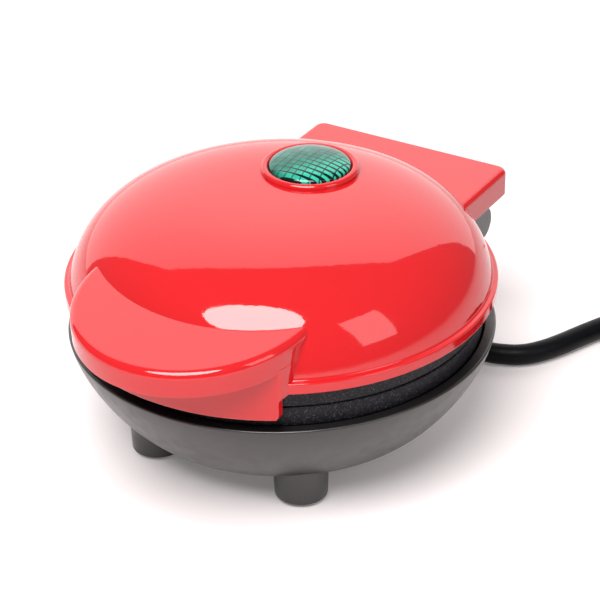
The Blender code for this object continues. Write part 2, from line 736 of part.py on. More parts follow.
def plate_profile(face_z, away):
    """A waffle plate's section; away is -1 for the lower plate, whose back is below its face, and 1 for the upper."""
    side_root = CAVITY_RADIUS + PLATE_SIDE_WALL
    back = PLATE_BACK_DEPTH
    rib = back + CHANNEL_DEPTH
    section = [
        (0.0, CAVITY_DEPTH), (CAVITY_RADIUS - CAVITY_DRAFT, CAVITY_DEPTH), (CAVITY_RADIUS, 0.0),
        (PLATE_RADIUS - PLATE_EDGE_ROUND, 0.0), (PLATE_RADIUS, PLATE_EDGE_ROUND),
        (PLATE_RADIUS, PLATE_RIM_DEPTH), (side_root, PLATE_RIM_DEPTH),
        (side_root - CAVITY_DRAFT / 2, back), (CHANNEL_OUTER + CHANNEL_RIB, back), (CHANNEL_OUTER + CHANNEL_RIB, rib),
        (CHANNEL_OUTER, rib), (CHANNEL_OUTER, back), (0.0, back),
    ]
    points = [(radius, face_z + away * depth) for radius, depth in section]
    return points if away < 0 else points[::-1]


def pegs(name, face_z, away):
    """The square pegs that print the waffle's pockets, cut to the round field."""
    sunk = PLATE_FLOOR / 2
    depth = PEG_HEIGHT + sunk
    draft = (PEG_BASE - PEG_TIP) / PEG_HEIGHT
    shape = bmesh.new()
    for row in range(PEG_ROWS):
        for column in range(PEG_ROWS):
            across = (column - (PEG_ROWS - 1) / 2) * PEG_PITCH
            along = (row - (PEG_ROWS - 1) / 2) * PEG_PITCH
            if math.hypot(across, along) > PEG_FIELD_RADIUS - PEG_TIP / 3:
                continue
            root, tip = (PEG_BASE + draft * sunk) / math.sqrt(2), PEG_TIP / math.sqrt(2)
            middle = face_z + away * (CAVITY_DEPTH - PEG_HEIGHT + depth / 2)
            bmesh.ops.create_cone(
                shape, cap_ends=True, segments=4, radius1=root if away < 0 else tip,
                radius2=tip if away < 0 else root, depth=depth,
                matrix=Matrix.Translation((across, along, middle)) @ Matrix.Rotation(math.radians(45.0), 4, "Z"),
            )
    made = place(mesh_of(name, shape), name, None)
    field = rod(
        name + "_field", PEG_FIELD_RADIUS, (0.0, 0.0, face_z + away * (CAVITY_DEPTH + PLATE_FLOOR)),
        (0.0, 0.0, face_z), steps=PLATE_STEPS, tip_radius=PEG_FIELD_RADIUS - CAVITY_DRAFT / 2,
    )
    return keep_inside(made, field)


def post(name, angle, face_z, away, end_depth):
    return rod(
        name, POST_RADIUS, polar(POST_CENTRE_RADIUS, angle, face_z + away * (PLATE_BACK_DEPTH - PLATE_FLOOR / 2)),
        polar(POST_CENTRE_RADIUS, angle, face_z + away * end_depth), steps=16,
    )


def waffle_plate(name, face_z, away, end_depth, hole_radius):
    plate = turned(name, plate_profile(face_z, away), COATING, PLATE_STEPS)
    unite(plate, pegs(name + "_pegs", face_z, away))
    unite(plate, *(
        post(f"{name}_post_{index}", angle, face_z, away, end_depth)
        for index, angle in enumerate(POST_ANGLES_DEG, 1)
    ))
    carve(plate, *(
        rod(
            f"{name}_post_hole_{index}", hole_radius, polar(POST_CENTRE_RADIUS, angle, face_z + away * PLATE_BACK_DEPTH),
            polar(POST_CENTRE_RADIUS, angle, face_z + away * (end_depth + OVERRUN)), steps=BOLT_STEPS,
        )
        for index, angle in enumerate(POST_ANGLES_DEG, 1)
    ))
    return plate


def upper_plate():
    plate = waffle_plate("upper_plate", UPPER_FACE_Z, 1, PLATE_BACK_DEPTH + LID_POST_LENGTH, SCREW_HOLE_RADIUS)
    for index, angle in enumerate(POST_ANGLES_DEG, 1):
        carve(
            plate,
            rod(f"rim_hole_{index}", SCREW_HOLE_RADIUS, polar(RIM_SCREW_RADIUS, angle, UPPER_FACE_Z - OVERRUN),
                polar(RIM_SCREW_RADIUS, angle, UPPER_FACE_Z + PLATE_RIM_DEPTH + OVERRUN), steps=BOLT_STEPS),
            rod(f"rim_sink_{index}", SCREW_HEAD_RADIUS + GAP, polar(RIM_SCREW_RADIUS, angle, UPPER_FACE_Z - OVERRUN),
                polar(RIM_SCREW_RADIUS, angle, UPPER_FACE_Z + SCREW_HEAD_HEIGHT + GAP), steps=16),
        )
    return plate


def element(name, face_z, away):
    """A tubular element: an open ring in the channel on the plate's back, its opening towards the hinge."""
    height = face_z + away * ELEMENT_DEPTH
    start = 90.0 + ELEMENT_OPENING_DEG / 2
    sweep = 360.0 - ELEMENT_OPENING_DEG
    points = [polar(ELEMENT_CENTRE_RADIUS, start + sweep * index / 18, height) for index in range(19)]
    return tube(name, points, ELEMENT_RADIUS, STEEL, 2)


def terminal(name, face_z, away, side):
    """The ceramic end of an element, in line with it."""
    height = face_z + away * ELEMENT_DEPTH
    end = polar(ELEMENT_CENTRE_RADIUS, 90.0 - side * ELEMENT_OPENING_DEG / 2, height)
    along = Vector((-side * math.cos(math.radians(ELEMENT_OPENING_DEG / 2)),
                    math.sin(math.radians(ELEMENT_OPENING_DEG / 2)), 0.0))
    return rod(name, TERMINAL_RADIUS, end + along * GAP, end + along * (GAP + TERMINAL_LENGTH), CERAMIC, BOLT_STEPS)


def shield(name, seat_z, away, centre_hole):
    """A thin dished sheet; away is the side that its lip turns to."""
    lip = SHIELD_LIP * away
    outer = [
        (0.0, SHIELD_SHEET), (SHIELD_RADIUS - SHIELD_LIP, SHIELD_SHEET), (SHIELD_RADIUS, lip + SHIELD_SHEET),
        (SHIELD_RADIUS, lip), (SHIELD_RADIUS - SHIELD_LIP, 0.0), (0.0, 0.0),
    ]
    sheet = turned(name, outer, SHEET, COLLAR_STEPS, location=(0.0, 0.0, seat_z))
    if centre_hole:
        carve(sheet, rod(name + "_centre", centre_hole, (0.0, 0.0, seat_z - OVERRUN),
                         (0.0, 0.0, seat_z + SHIELD_SHEET + OVERRUN)))
    return sheet


def lower_shield():
    seat_z = BASE_BOSS_TOP_Z + GAP
    sheet = shield("lower_shield", seat_z, 1, THERMOSTAT_RADIUS + SHIELD_HOLE_PLAY)
    for index, angle in enumerate(POST_ANGLES_DEG, 1):
        carve(sheet, rod(
            f"lower_shield_hole_{index}", POST_RADIUS + SHIELD_HOLE_PLAY, polar(POST_CENTRE_RADIUS, angle, seat_z - OVERRUN),
            polar(POST_CENTRE_RADIUS, angle, seat_z + SHIELD_SHEET + OVERRUN), steps=BOLT_STEPS,
        ))
    return carve(sheet, box(
        "lower_shield_notch", (-SHIELD_NOTCH_WIDTH / 2, ELEMENT_CENTRE_RADIUS - ELEMENT_RADIUS, seat_z - OVERRUN),
        (SHIELD_NOTCH_WIDTH / 2, SHIELD_RADIUS + OVERRUN, seat_z + SHIELD_LIP + OVERRUN),
    ))


def upper_shield():
    seat_z = UPPER_FACE_Z + PLATE_BACK_DEPTH + LID_POST_LENGTH + GAP
    sheet = shield("upper_shield", seat_z, -1, 0.0)
    for index, angle in enumerate(POST_ANGLES_DEG, 1):
        carve(sheet, rod(
            f"upper_shield_hole_{index}", SCREW_HOLE_RADIUS, polar(POST_CENTRE_RADIUS, angle, seat_z - OVERRUN),
            polar(POST_CENTRE_RADIUS, angle, seat_z + SHIELD_SHEET + OVERRUN), steps=BOLT_STEPS,
        ))
    return carve(sheet, box(
        "upper_shield_notch", (-SHIELD_NOTCH_WIDTH / 2, ELEMENT_CENTRE_RADIUS - ELEMENT_RADIUS, seat_z - SHIELD_LIP - OVERRUN),
        (SHIELD_NOTCH_WIDTH / 2, SHIELD_RADIUS + OVERRUN, seat_z + SHIELD_SHEET + OVERRUN),
    ))


def screw(name, head, direction, length):
    """A pan-head screw: the head's seat face is at the first place, and the shank runs along the direction."""
    profile = [
        (0.0, length), (SCREW_RADIUS * 0.7, length), (SCREW_RADIUS, length - SCREW_RADIUS), (SCREW_RADIUS, 0.0),
        (SCREW_HEAD_RADIUS, 0.0), (SCREW_HEAD_RADIUS, -SCREW_HEAD_HEIGHT * 0.6),
        (SCREW_HEAD_RADIUS * 0.6, -SCREW_HEAD_HEIGHT), (0.0, -SCREW_HEAD_HEIGHT),
    ]
    return turned(name, profile, STEEL, BOLT_STEPS, location=head, rotation=Vector(direction).to_track_quat("Z", "Y"))


def screws():
    up, down = Vector((0.0, 0.0, 1.0)), Vector((0.0, 0.0, -1.0))
    shield_top = UPPER_FACE_Z + PLATE_BACK_DEPTH + LID_POST_LENGTH + 2 * GAP + SHIELD_SHEET
    well_top = BASE_BOSS_TOP_Z - WELL_ROOF
    for index, angle in enumerate(POST_ANGLES_DEG, 1):
        seat = polar(RIM_SCREW_RADIUS, angle, UPPER_FACE_Z + SCREW_HEAD_HEIGHT)
        screw(f"upper_plate_screw_{index}", seat, up, SCREW_LENGTH)
    for index, angle in enumerate(POST_ANGLES_DEG, 1):
        screw(f"upper_shield_screw_{index}", polar(POST_CENTRE_RADIUS, angle, shield_top), down, SHIELD_SCREW_LENGTH)
        screw(f"lower_plate_screw_{index}", polar(POST_CENTRE_RADIUS, angle, well_top - GAP), up, SCREW_LENGTH)


def lens():
    seat_z = COLLAR_TOP_Z - COLLAR_ROOF - GAP
    edge_z = COLLAR_TOP_Z - LENS_EDGE_DROP
    radius = COLLAR_HOLE_RADIUS - LENS_PLAY
    sphere = (radius ** 2 + LENS_CROWN ** 2) / (2 * LENS_CROWN)
    spread = math.asin(radius / sphere)
    crown = [
        (sphere * math.sin(spread * index / 4), edge_z + LENS_CROWN - sphere * (1 - math.cos(spread * index / 4)))
        for index in range(5)
    ]
    hollow_z = seat_z - LENS_FLANGE_THICKNESS
    return turned("indicator_lens", crown + [
        (radius, seat_z), (LENS_FLANGE_RADIUS, seat_z), (LENS_FLANGE_RADIUS, hollow_z),
        (radius * 0.8, hollow_z), (radius * 0.8, edge_z - LENS_EDGE_DROP), (0.0, edge_z - LENS_EDGE_DROP),
    ], GREEN, COLLAR_STEPS, location=(0.0, COLLAR_Y, 0.0))


def retainer_foot():
    flange_foot = COLLAR_TOP_Z - COLLAR_ROOF - GAP - LENS_FLANGE_THICKNESS
    return flange_foot - GAP - RETAINER_HEIGHT


def retainer():
    foot = retainer_foot()
    top = foot + RETAINER_HEIGHT
    bore = LAMP_RADIUS + GAP
    inner = LENS_FLANGE_RADIUS - RETAINER_WALL
    return turned("lens_retainer", [
        (LENS_FLANGE_RADIUS, top), (LENS_FLANGE_RADIUS, foot), (bore, foot), (bore, foot + RETAINER_WALL),
        (inner, foot + RETAINER_WALL), (inner, top),
    ], NATURAL, SMALL_STEPS, ring=True, location=(0.0, COLLAR_Y, 0.0))


def lamp():
    top = retainer_foot() + RETAINER_WALL + LAMP_LENGTH / 4
    points = [
        (LAMP_RADIUS * math.sin(math.radians(angle)), top - LAMP_RADIUS * (1 - math.cos(math.radians(angle))))
        for angle in (0.0, 30.0, 60.0, 90.0)
    ]
    foot = top - LAMP_LENGTH
    turned("indicator_lamp", points + [(LAMP_RADIUS, foot), (0.0, foot)], AMBER, 16, location=(0.0, COLLAR_Y, 0.0))
    over_shield = UPPER_FACE_Z + PLATE_BACK_DEPTH + LID_POST_LENGTH + 2 * SHIELD_LIP
    tube("lamp_lead", smooth_route([
        (0.0, COLLAR_Y, foot - GAP), (0.0, COLLAR_Y, foot - LAMP_RADIUS),
        (0.0, COLLAR_Y + LAMP_LENGTH / 2, over_shield), (0.0, ELEMENT_CENTRE_RADIUS - 2 * LAMP_RADIUS, over_shield),
        (0.0, ELEMENT_CENTRE_RADIUS, (over_shield + LID_CABLE_END_Z) / 2),
        (0.0, LID_CABLE_END_Y - LAMP_RADIUS, LID_CABLE_END_Z), (0.0, LID_CABLE_END_Y - GAP, LID_CABLE_END_Z),
    ], LAMP_RADIUS), LAMP_LEAD_RADIUS, WIRE)


def bowl_profile(inset):
    """The bowl's side from the rim to the floor, a wall's thickness inside if asked."""
    span = BASE_RIM_RADIUS - BOWL_FLOOR_RADIUS
    drop = BASE_RIM_Z - BOWL_FLOOR_Z
    side = superellipse(span, drop, BOWL_POWER, 0.0, 90.0, 8)
    return [(BOWL_FLOOR_RADIUS - inset + across, BASE_RIM_Z - down) for across, down in side]


def bowl_outline():
    side = bowl_profile(0.0)
    return [
        (0.0, BASE_RIM_Z), (BASE_RIM_RADIUS - BASE_RIM_ROUND, BASE_RIM_Z),
        (BASE_RIM_RADIUS, BASE_RIM_Z - BASE_RIM_ROUND),
    ] + side[1:] + [(0.0, BOWL_FLOOR_Z)]


def bowl_cavity():
    inner_rim = BASE_RIM_RADIUS - BASE_RIM_WIDTH
    side = bowl_profile(BASE_WALL)
    lowered = [(radius, height) for radius, height in side[1:] if height > BASE_FLOOR_TOP_Z]
    return turned("bowl_cavity", [
        (0.0, BASE_RIM_Z + OVERRUN), (inner_rim, BASE_RIM_Z + OVERRUN),
        (inner_rim, BASE_RIM_Z - BASE_WALL),
    ] + [(min(radius, inner_rim), height) for radius, height in lowered if height < BASE_RIM_Z - BASE_WALL] + [
        (BOWL_FLOOR_RADIUS - BASE_WALL / 2, BASE_FLOOR_TOP_Z), (0.0, BASE_FLOOR_TOP_Z),
    ], steps=INNER_STEPS)


def bracket():
    """The hinge bracket: its side view runs out from the bowl and ends round about the hinge's axis."""
    top_z = HINGE_Z + EAR_RADIUS
    arc = [
        (HINGE_Y + EAR_RADIUS * math.cos(math.radians(angle)), HINGE_Z + EAR_RADIUS * math.sin(math.radians(angle)))
        for angle in range(90, -91, -15)
    ]
    outline = [(BRACKET_FOOT_Y, top_z)] + arc + [(BRACKET_FOOT_Y, BRACKET_FOOT_Z)]
    turn = Matrix.Rotation(math.radians(90.0), 4, "Z") @ Matrix.Rotation(math.radians(90.0), 4, "X")
    body = slab("hinge_bracket", [outline], 2 * EAR_HALF_SPAN, rotation=turn)
    round_edges(body, BASE_RIM_ROUND, 1, 60.0)
    between = box(
        "hinge_bay", (-EAR_INNER_X, BRACKET_FOOT_Y - OVERRUN, HINGE_Z - EAR_RADIUS - 2 * GAP),
        (EAR_INNER_X, HINGE_Y + 2 * EAR_RADIUS, top_z + OVERRUN),
    )
    well = rod(
        "plate_bay", PLATE_RADIUS + PLATE_SWING_PLAY, (0.0, 0.0, BASE_RIM_Z), (0.0, 0.0, top_z + OVERRUN), steps=ROUND_STEPS,
    )
    return carve(body, between, well)


def ear_hollow(side):
    """The space inside an ear, open to the bowl; the link cable turns in the left one."""
    outer = EAR_HALF_SPAN - EAR_WALL
    inner = EAR_INNER_X + EAR_WALL
    low_x, high_x = sorted((side * outer, side * inner))
    top_z = HINGE_Z + EAR_RADIUS - EAR_WALL
    rim_z = BASE_RIM_Z - EAR_WALL * 0.4
    front_y = PLATE_RADIUS + PLATE_SWING_PLAY / 2 - EAR_WALL
    shape = [
        (front_y, top_z), (HINGE_Y + EAR_RADIUS / 3, top_z),
        (HINGE_Y + EAR_RADIUS / 3, HINGE_Z - EAR_RADIUS + EAR_WALL), (BRACKET_FOOT_Y, BRACKET_FOOT_Z + EAR_WALL * 0.9),
        (BRACKET_FOOT_Y - 2 * EAR_WALL, BRACKET_FOOT_Z),
        (BRACKET_FOOT_Y - 2 * EAR_WALL, rim_z), (front_y, rim_z),
    ]
    turn = Matrix.Rotation(math.radians(90.0), 4, "Z") @ Matrix.Rotation(math.radians(90.0), 4, "X")
    return slab(
        "ear_hollow_left" if side < 0 else "ear_hollow_right", [shape], high_x - low_x, rotation=turn,
        location=((low_x + high_x) / 2, 0.0, 0.0),
    )


def outlet_direction():
    return Vector((math.cos(OUTLET_SLOPE), 0.0, -math.sin(OUTLET_SLOPE)))


def column():
    """The column behind the bowl that carries the bracket and the cord's outlet."""
    outlet = Vector((OUTLET_X, OUTLET_Y, OUTLET_Z))
    body = box(
        "outlet_column", (-COLUMN_HALF_WIDTH, COLUMN_FRONT_Y, COLUMN_FOOT_Z),
        (OUTLET_X + COLUMN_WALL, COLUMN_BACK_Y, COLUMN_TOP_Z),
    )
    round_edges(body, BASE_WALL, 2, 60.0)
    trim = box(
        "outlet_trim", (0.0, -COLUMN_BACK_Y / 2, -COLUMN_TOP_Z), (COLUMN_BACK_Y, COLUMN_BACK_Y / 2, COLUMN_TOP_Z),
    )
    middle = outlet + outlet_direction() * COLUMN_BACK_Y / 2
    trim.location = middle
    trim.rotation_euler = (0.0, OUTLET_SLOPE, 0.0)
    return carve(body, trim)


def base_cutters():
    outlet = Vector((OUTLET_X, OUTLET_Y, OUTLET_Z))
    along = outlet_direction()
    inside = outlet - along * OUTLET_WALL
    chamber_side = OUTLET_X - COLUMN_WALL - OUTLET_WALL
    cutters = [
        bowl_cavity(), ear_hollow(-1), ear_hollow(1),
        box("column_chamber", (COLUMN_WALL - COLUMN_HALF_WIDTH, COLUMN_FRONT_Y - COLUMN_WALL,
                               COLUMN_FOOT_Z + COLUMN_WALL),
            (chamber_side, COLUMN_BACK_Y - COLUMN_WALL, COLUMN_TOP_Z - 3 * COLUMN_WALL)),
        rod("outlet_room", RELIEF_FLANGE_RADIUS + GAP, inside - along * OUTLET_X, inside),
        rod("outlet_hole", RELIEF_NECK_RADIUS + GAP, inside - along * COLUMN_WALL, outlet + along * OVERRUN),
        rod("pin_seat", PIN_RADIUS + RUNNING_CLEARANCE, (EAR_INNER_X - OVERRUN, HINGE_Y, HINGE_Z),
            (EAR_HALF_SPAN + OVERRUN, HINGE_Y, HINGE_Z)),
        rod("bush_seat", BUSH_RADIUS + RUNNING_CLEARANCE, (-EAR_INNER_X + OVERRUN, HINGE_Y, HINGE_Z),
            (-EAR_INNER_X - EAR_WIDTH / 2, HINGE_Y, HINGE_Z)),
    ]
    for name, (across, along_y) in LEG_PLACES.items():
        cutters.append(rod(f"leg_bore_{name}", LEG_BORE_RADIUS, (across, along_y, LEG_END_Z + PAD_THICKNESS + LEG_FLOOR),
                           (across, along_y, BASE_FLOOR_TOP_Z + OVERRUN), steps=16))
        cutters.append(rod(f"pad_seat_{name}", PAD_RADIUS + GAP, (across, along_y, -OVERRUN),
                           (across, along_y, PAD_THICKNESS + GAP)))
    return cutters


def base_bosses():
    made = []
    for index, angle in enumerate(POST_ANGLES_DEG, 1):
        made.append(rod(f"base_boss_{index}", BASE_BOSS_RADIUS, polar(POST_CENTRE_RADIUS, angle, BOWL_FLOOR_Z + BASE_WALL / 2),
                        polar(POST_CENTRE_RADIUS, angle, BASE_BOSS_TOP_Z)))
    for side in (-1, 1):
        across = side * (CLAMP_HALF_SPAN - CLAMP_BOSS_RADIUS)
        low, high = BOWL_FLOOR_Z + BASE_WALL / 2, BASE_FLOOR_TOP_Z + CLAMP_HEIGHT
        made.append(rod("clamp_boss_left" if side < 0 else "clamp_boss_right", CLAMP_BOSS_RADIUS,
                        (across, CLAMP_Y, low), (across, CLAMP_Y, high), steps=16))
    return made


def base_holes():
    made = []
    well_top = BASE_BOSS_TOP_Z - WELL_ROOF
    for index, angle in enumerate(POST_ANGLES_DEG, 1):
        made.append(rod(f"base_well_{index}", WELL_RADIUS, polar(POST_CENTRE_RADIUS, angle, BOWL_FLOOR_Z - OVERRUN),
                        polar(POST_CENTRE_RADIUS, angle, well_top)))
        made.append(rod(f"base_screw_hole_{index}", SCREW_HOLE_RADIUS, polar(POST_CENTRE_RADIUS, angle, BOWL_FLOOR_Z),
                        polar(POST_CENTRE_RADIUS, angle, BASE_BOSS_TOP_Z + OVERRUN), steps=BOLT_STEPS))
    for side in (-1, 1):
        across = side * (CLAMP_HALF_SPAN - CLAMP_BOSS_RADIUS)
        made.append(rod("clamp_hole_left" if side < 0 else "clamp_hole_right", SCREW_HOLE_RADIUS,
                        (across, CLAMP_Y, BASE_FLOOR_TOP_Z - BASE_WALL / 2),
                        (across, CLAMP_Y, BASE_FLOOR_TOP_Z + CLAMP_HEIGHT + OVERRUN), steps=BOLT_STEPS))
    return made


def leg(name, across, along):
    profile = [
        (0.0, LEG_TOP_Z), (LEG_TOP_RADIUS, LEG_TOP_Z), (LEG_FOOT_RADIUS, LEG_END_Z + LEG_FOOT_ROUND),
        (LEG_FOOT_RADIUS - LEG_FOOT_ROUND, LEG_END_Z), (0.0, LEG_END_Z),
    ]
    return turned(f"leg_{name}", profile, steps=SMALL_STEPS, location=(across, along, 0.0))


def base_shell():
    shell = turned("base_shell", bowl_outline(), BLACK)
    unite(shell, bracket(), column(), *(leg(name, *spot) for name, spot in LEG_PLACES.items()))
    carve(shell, *base_cutters())
    unite(shell, *base_bosses())
    return carve(shell, *base_holes())


def foot_pads():
    for name, (across, along) in LEG_PLACES.items():
        turned(f"foot_pad_{name}", [
            (0.0, PAD_THICKNESS), (PAD_RADIUS, PAD_THICKNESS), (PAD_RADIUS, PAD_ROUND), (PAD_RADIUS - PAD_ROUND, 0.0),
            (0.0, 0.0),
        ], RUBBER, SMALL_STEPS, location=(across, along, 0.0))


def hinge_pins():
    inner = KNUCKLE_INNER_X + RUNNING_CLEARANCE
    rod("hinge_pin", PIN_RADIUS, (inner, HINGE_Y, HINGE_Z), (inner + PIN_LENGTH, HINGE_Y, HINGE_Z), STEEL)
    bore = BUSH_RADIUS - BUSH_WALL
    turned("hinge_bush", [
        (BUSH_RADIUS, BUSH_LENGTH), (BUSH_RADIUS, 0.0), (bore, 0.0), (bore, BUSH_LENGTH),
    ], STEEL, SMALL_STEPS, ring=True, location=(-inner, HINGE_Y, HINGE_Z),
        rotation=Vector((-1.0, 0.0, 0.0)).to_track_quat("Z", "Y"))


def thermostat():
    """A snap-disc thermostat under the lower plate, with a terminal tab on each side."""
    top = LOWER_FACE_Z - PLATE_BACK_DEPTH - GAP
    foot = top - THERMOSTAT_HEIGHT
    body = turned("thermostat", [
        (0.0, top), (THERMOSTAT_RADIUS, top), (THERMOSTAT_RADIUS, top - THERMOSTAT_HEIGHT / 3),
        (THERMOSTAT_RADIUS * 0.8, top - THERMOSTAT_HEIGHT / 3), (THERMOSTAT_RADIUS * 0.8, foot), (0.0, foot),
    ], CERAMIC, SMALL_STEPS)
    for side in (-1, 1):
        across = side * THERMOSTAT_RADIUS / 2
        half = THERMOSTAT_TAB / 2
        unite(body, box(
            "thermostat_tab_left" if side < 0 else "thermostat_tab_right",
            (across - SHIELD_SHEET / 2, -half, foot - THERMOSTAT_TAB), (across + SHIELD_SHEET / 2, half, foot + half),
        ))
    return body


def wiring():
    """The wires between the inner cord, the fuse, the thermostat, the elements and the link to the lid."""
    floor_z = BASE_FLOOR_TOP_Z + WIRE_RADIUS + GAP
    tab_z = LOWER_FACE_Z - PLATE_BACK_DEPTH - GAP - THERMOSTAT_HEIGHT - THERMOSTAT_TAB
    half_tab = THERMOSTAT_RADIUS / 2
    fuse_y = CLAMP_Y - CLAMP_LENGTH
    fuse_z = BASE_FLOOR_TOP_Z + FUSE_RADIUS + GAP
    rod("thermal_fuse", FUSE_RADIUS, (half_tab, 0.0, fuse_z), (half_tab, FUSE_LENGTH, fuse_z), NATURAL, BOLT_STEPS)
    tube("fuse_wire", smooth_route([
        (half_tab, FUSE_LENGTH + GAP, fuse_z), (half_tab, FUSE_LENGTH + FUSE_RADIUS, fuse_z),
        (WIRE_RADIUS * 1.6, fuse_y - GAP * 2, fuse_z + GAP),
    ], FUSE_RADIUS), WIRE_RADIUS, WIRE)
    tube("thermostat_wire", smooth_route([
        (half_tab, -GAP, fuse_z), (half_tab, -FUSE_RADIUS * 1.5, fuse_z),
        (half_tab, -FUSE_RADIUS * 2, (fuse_z + tab_z) / 2), (half_tab, -FUSE_RADIUS, tab_z - WIRE_RADIUS * 2),
        (half_tab, -WIRE_RADIUS, tab_z - WIRE_RADIUS - GAP),
    ], FUSE_RADIUS), WIRE_RADIUS, WIRE)
    rod("wire_connector", CONNECTOR_RADIUS, (CONNECTOR_X, CONNECTOR_Y, CONNECTOR_Z),
        (CONNECTOR_X, CONNECTOR_Y + CONNECTOR_LENGTH, CONNECTOR_Z), NATURAL, BOLT_STEPS, CONNECTOR_RADIUS * 0.7)
    tube("neutral_wire", smooth_route([
        (-WIRE_RADIUS * 1.6, fuse_y - GAP * 2, fuse_z + GAP), (-WIRE_RADIUS * 2.5, fuse_y - FUSE_LENGTH / 2, floor_z),
        (CONNECTOR_X / 2, CONNECTOR_Y / 2, floor_z),
        (CONNECTOR_X + CONNECTOR_RADIUS, CONNECTOR_Y - CONNECTOR_RADIUS, CONNECTOR_Z),
        (CONNECTOR_X, CONNECTOR_Y - CONNECTOR_RADIUS, CONNECTOR_Z), (CONNECTOR_X, CONNECTOR_Y - GAP, CONNECTOR_Z),
    ], FUSE_RADIUS * 2), WIRE_RADIUS, WIRE)


def link_cables():
    """The cable to the lid runs along the hinge's axis, so that it only twists: one half is in each body."""
    meet_x = -KNUCKLE_INNER_X - KNUCKLE_WIDTH / 3
    turn_x = -EAR_HALF_SPAN + EAR_WIDTH / 2
    connector_end = CONNECTOR_Y + CONNECTOR_LENGTH + GAP
    tube("base_link_cable", smooth_route([
        (meet_x - GAP, HINGE_Y, HINGE_Z), (-KNUCKLE_OUTER_X - EAR_WALL, HINGE_Y, HINGE_Z),
        (turn_x + LINK_RADIUS, HINGE_Y - LINK_RADIUS, HINGE_Z - LINK_RADIUS / 2),
        (turn_x, HINGE_Y - 3 * LINK_RADIUS, HINGE_Z - 1.6 * LINK_RADIUS),
        (turn_x, PLATE_RADIUS + LINK_RADIUS / 2, BASE_RIM_Z - LINK_RADIUS / 2),
        (turn_x, PLATE_RADIUS - 2 * LINK_RADIUS, BASE_RIM_Z - 2.5 * LINK_RADIUS),
        (turn_x, BRACKET_FOOT_Y - LINK_RADIUS, BRACKET_FOOT_Z + 2.6 * LINK_RADIUS),
        (turn_x, BRACKET_FOOT_Y - 4.6 * LINK_RADIUS, BRACKET_FOOT_Z - LINK_RADIUS / 3),
        (turn_x, LEG_Y + 9 * LINK_RADIUS, BASE_BOSS_TOP_Z - LINK_RADIUS),
        (turn_x - LINK_RADIUS / 2, LEG_Y + 4 * LINK_RADIUS, CONNECTOR_Z + LINK_RADIUS),
        (turn_x - 2 * LINK_RADIUS, LEG_Y - LEG_BORE_RADIUS, CONNECTOR_Z),
        (turn_x - 2 * LINK_RADIUS, connector_end + 6 * LINK_RADIUS, CONNECTOR_Z),
        (CONNECTOR_X - 3 * LINK_RADIUS, connector_end + 3.5 * LINK_RADIUS, CONNECTOR_Z),
        (CONNECTOR_X, connector_end + 1.5 * LINK_RADIUS, CONNECTOR_Z),
    ], CORD_RADIUS) + [(CONNECTOR_X, connector_end, CONNECTOR_Z)], LINK_RADIUS, WIRE)
    tube("lid_link_cable", smooth_route([
        (meet_x, HINGE_Y, HINGE_Z), (-KNUCKLE_INNER_X + 2 * LINK_RADIUS, HINGE_Y, HINGE_Z),
        (-KNUCKLE_INNER_X / 2, HINGE_Y, HINGE_Z + 2 * LINK_RADIUS),
        (-LINK_RADIUS, HINGE_Y - LINK_RADIUS, LID_EDGE_Z + LINK_RADIUS),
        (0.0, LIP_RADIUS + LINK_RADIUS, LID_EDGE_Z + LID_WALL + 1.4 * LINK_RADIUS),
        (0.0, PLATE_RADIUS - LINK_RADIUS, LID_EDGE_Z + LID_WALL + 1.6 * LINK_RADIUS),
        (0.0, LID_CABLE_END_Y + LINK_RADIUS, LID_CABLE_END_Z), (0.0, LID_CABLE_END_Y, LID_CABLE_END_Z),
    ], CORD_RADIUS), LINK_RADIUS, WIRE)


def strain_relief():
    """A ringed, tapered tail outside the wall, a neck through it and a flange on each side of it."""
    outlet = Vector((OUTLET_X, OUTLET_Y, OUTLET_Z))
    along = outlet_direction()
    tail = []
    for ring in range(RELIEF_RINGS):
        for part, sunk in ((0.0, False), (0.6, False), (0.7, True)):
            share = (ring + part) / RELIEF_RINGS
            radius = RELIEF_ROOT_RADIUS + (RELIEF_TIP_RADIUS - RELIEF_ROOT_RADIUS) * share
            tail.append((radius - RELIEF_GROOVE * sunk, RELIEF_FLANGE + GAP + RELIEF_LENGTH * share))
    tail.append((RELIEF_TIP_RADIUS, RELIEF_FLANGE + GAP + RELIEF_LENGTH))
    inside = -OUTLET_WALL - GAP
    profile = [(0.0, tail[-1][1])] + tail[::-1] + [
        (RELIEF_FLANGE_RADIUS, RELIEF_FLANGE), (RELIEF_FLANGE_RADIUS, GAP),
        (RELIEF_NECK_RADIUS, GAP), (RELIEF_NECK_RADIUS, inside), (RELIEF_FLANGE_RADIUS - GAP, inside),
        (RELIEF_FLANGE_RADIUS - GAP, inside - RELIEF_FLANGE), (0.0, inside - RELIEF_FLANGE),
    ]
    turned("strain_relief", profile, RUBBER, RELIEF_STEPS, location=outlet, rotation=along.to_track_quat("Z", "Y"))
    start = outlet + along * (inside - RELIEF_FLANGE - GAP)
    floor_z = BASE_FLOOR_TOP_Z + INNER_CORD_RADIUS + GAP
    tube("inner_cord", smooth_route([
        start, start - along * INNER_CORD_RADIUS,
        (0.0, OUTLET_Y - INNER_CORD_RADIUS, OUTLET_Z + 1.6 * INNER_CORD_RADIUS),
        (0.0, COLUMN_FRONT_Y + INNER_CORD_RADIUS, OUTLET_Z + INNER_CORD_RADIUS),
        (0.0, CLAMP_Y + CLAMP_LENGTH, floor_z), (0.0, CLAMP_Y, floor_z), (0.0, CLAMP_Y - CLAMP_LENGTH, floor_z),
    ], INNER_CORD_RADIUS), INNER_CORD_RADIUS, CORD, 2)
    return outlet + along * (RELIEF_FLANGE + GAP + RELIEF_LENGTH)


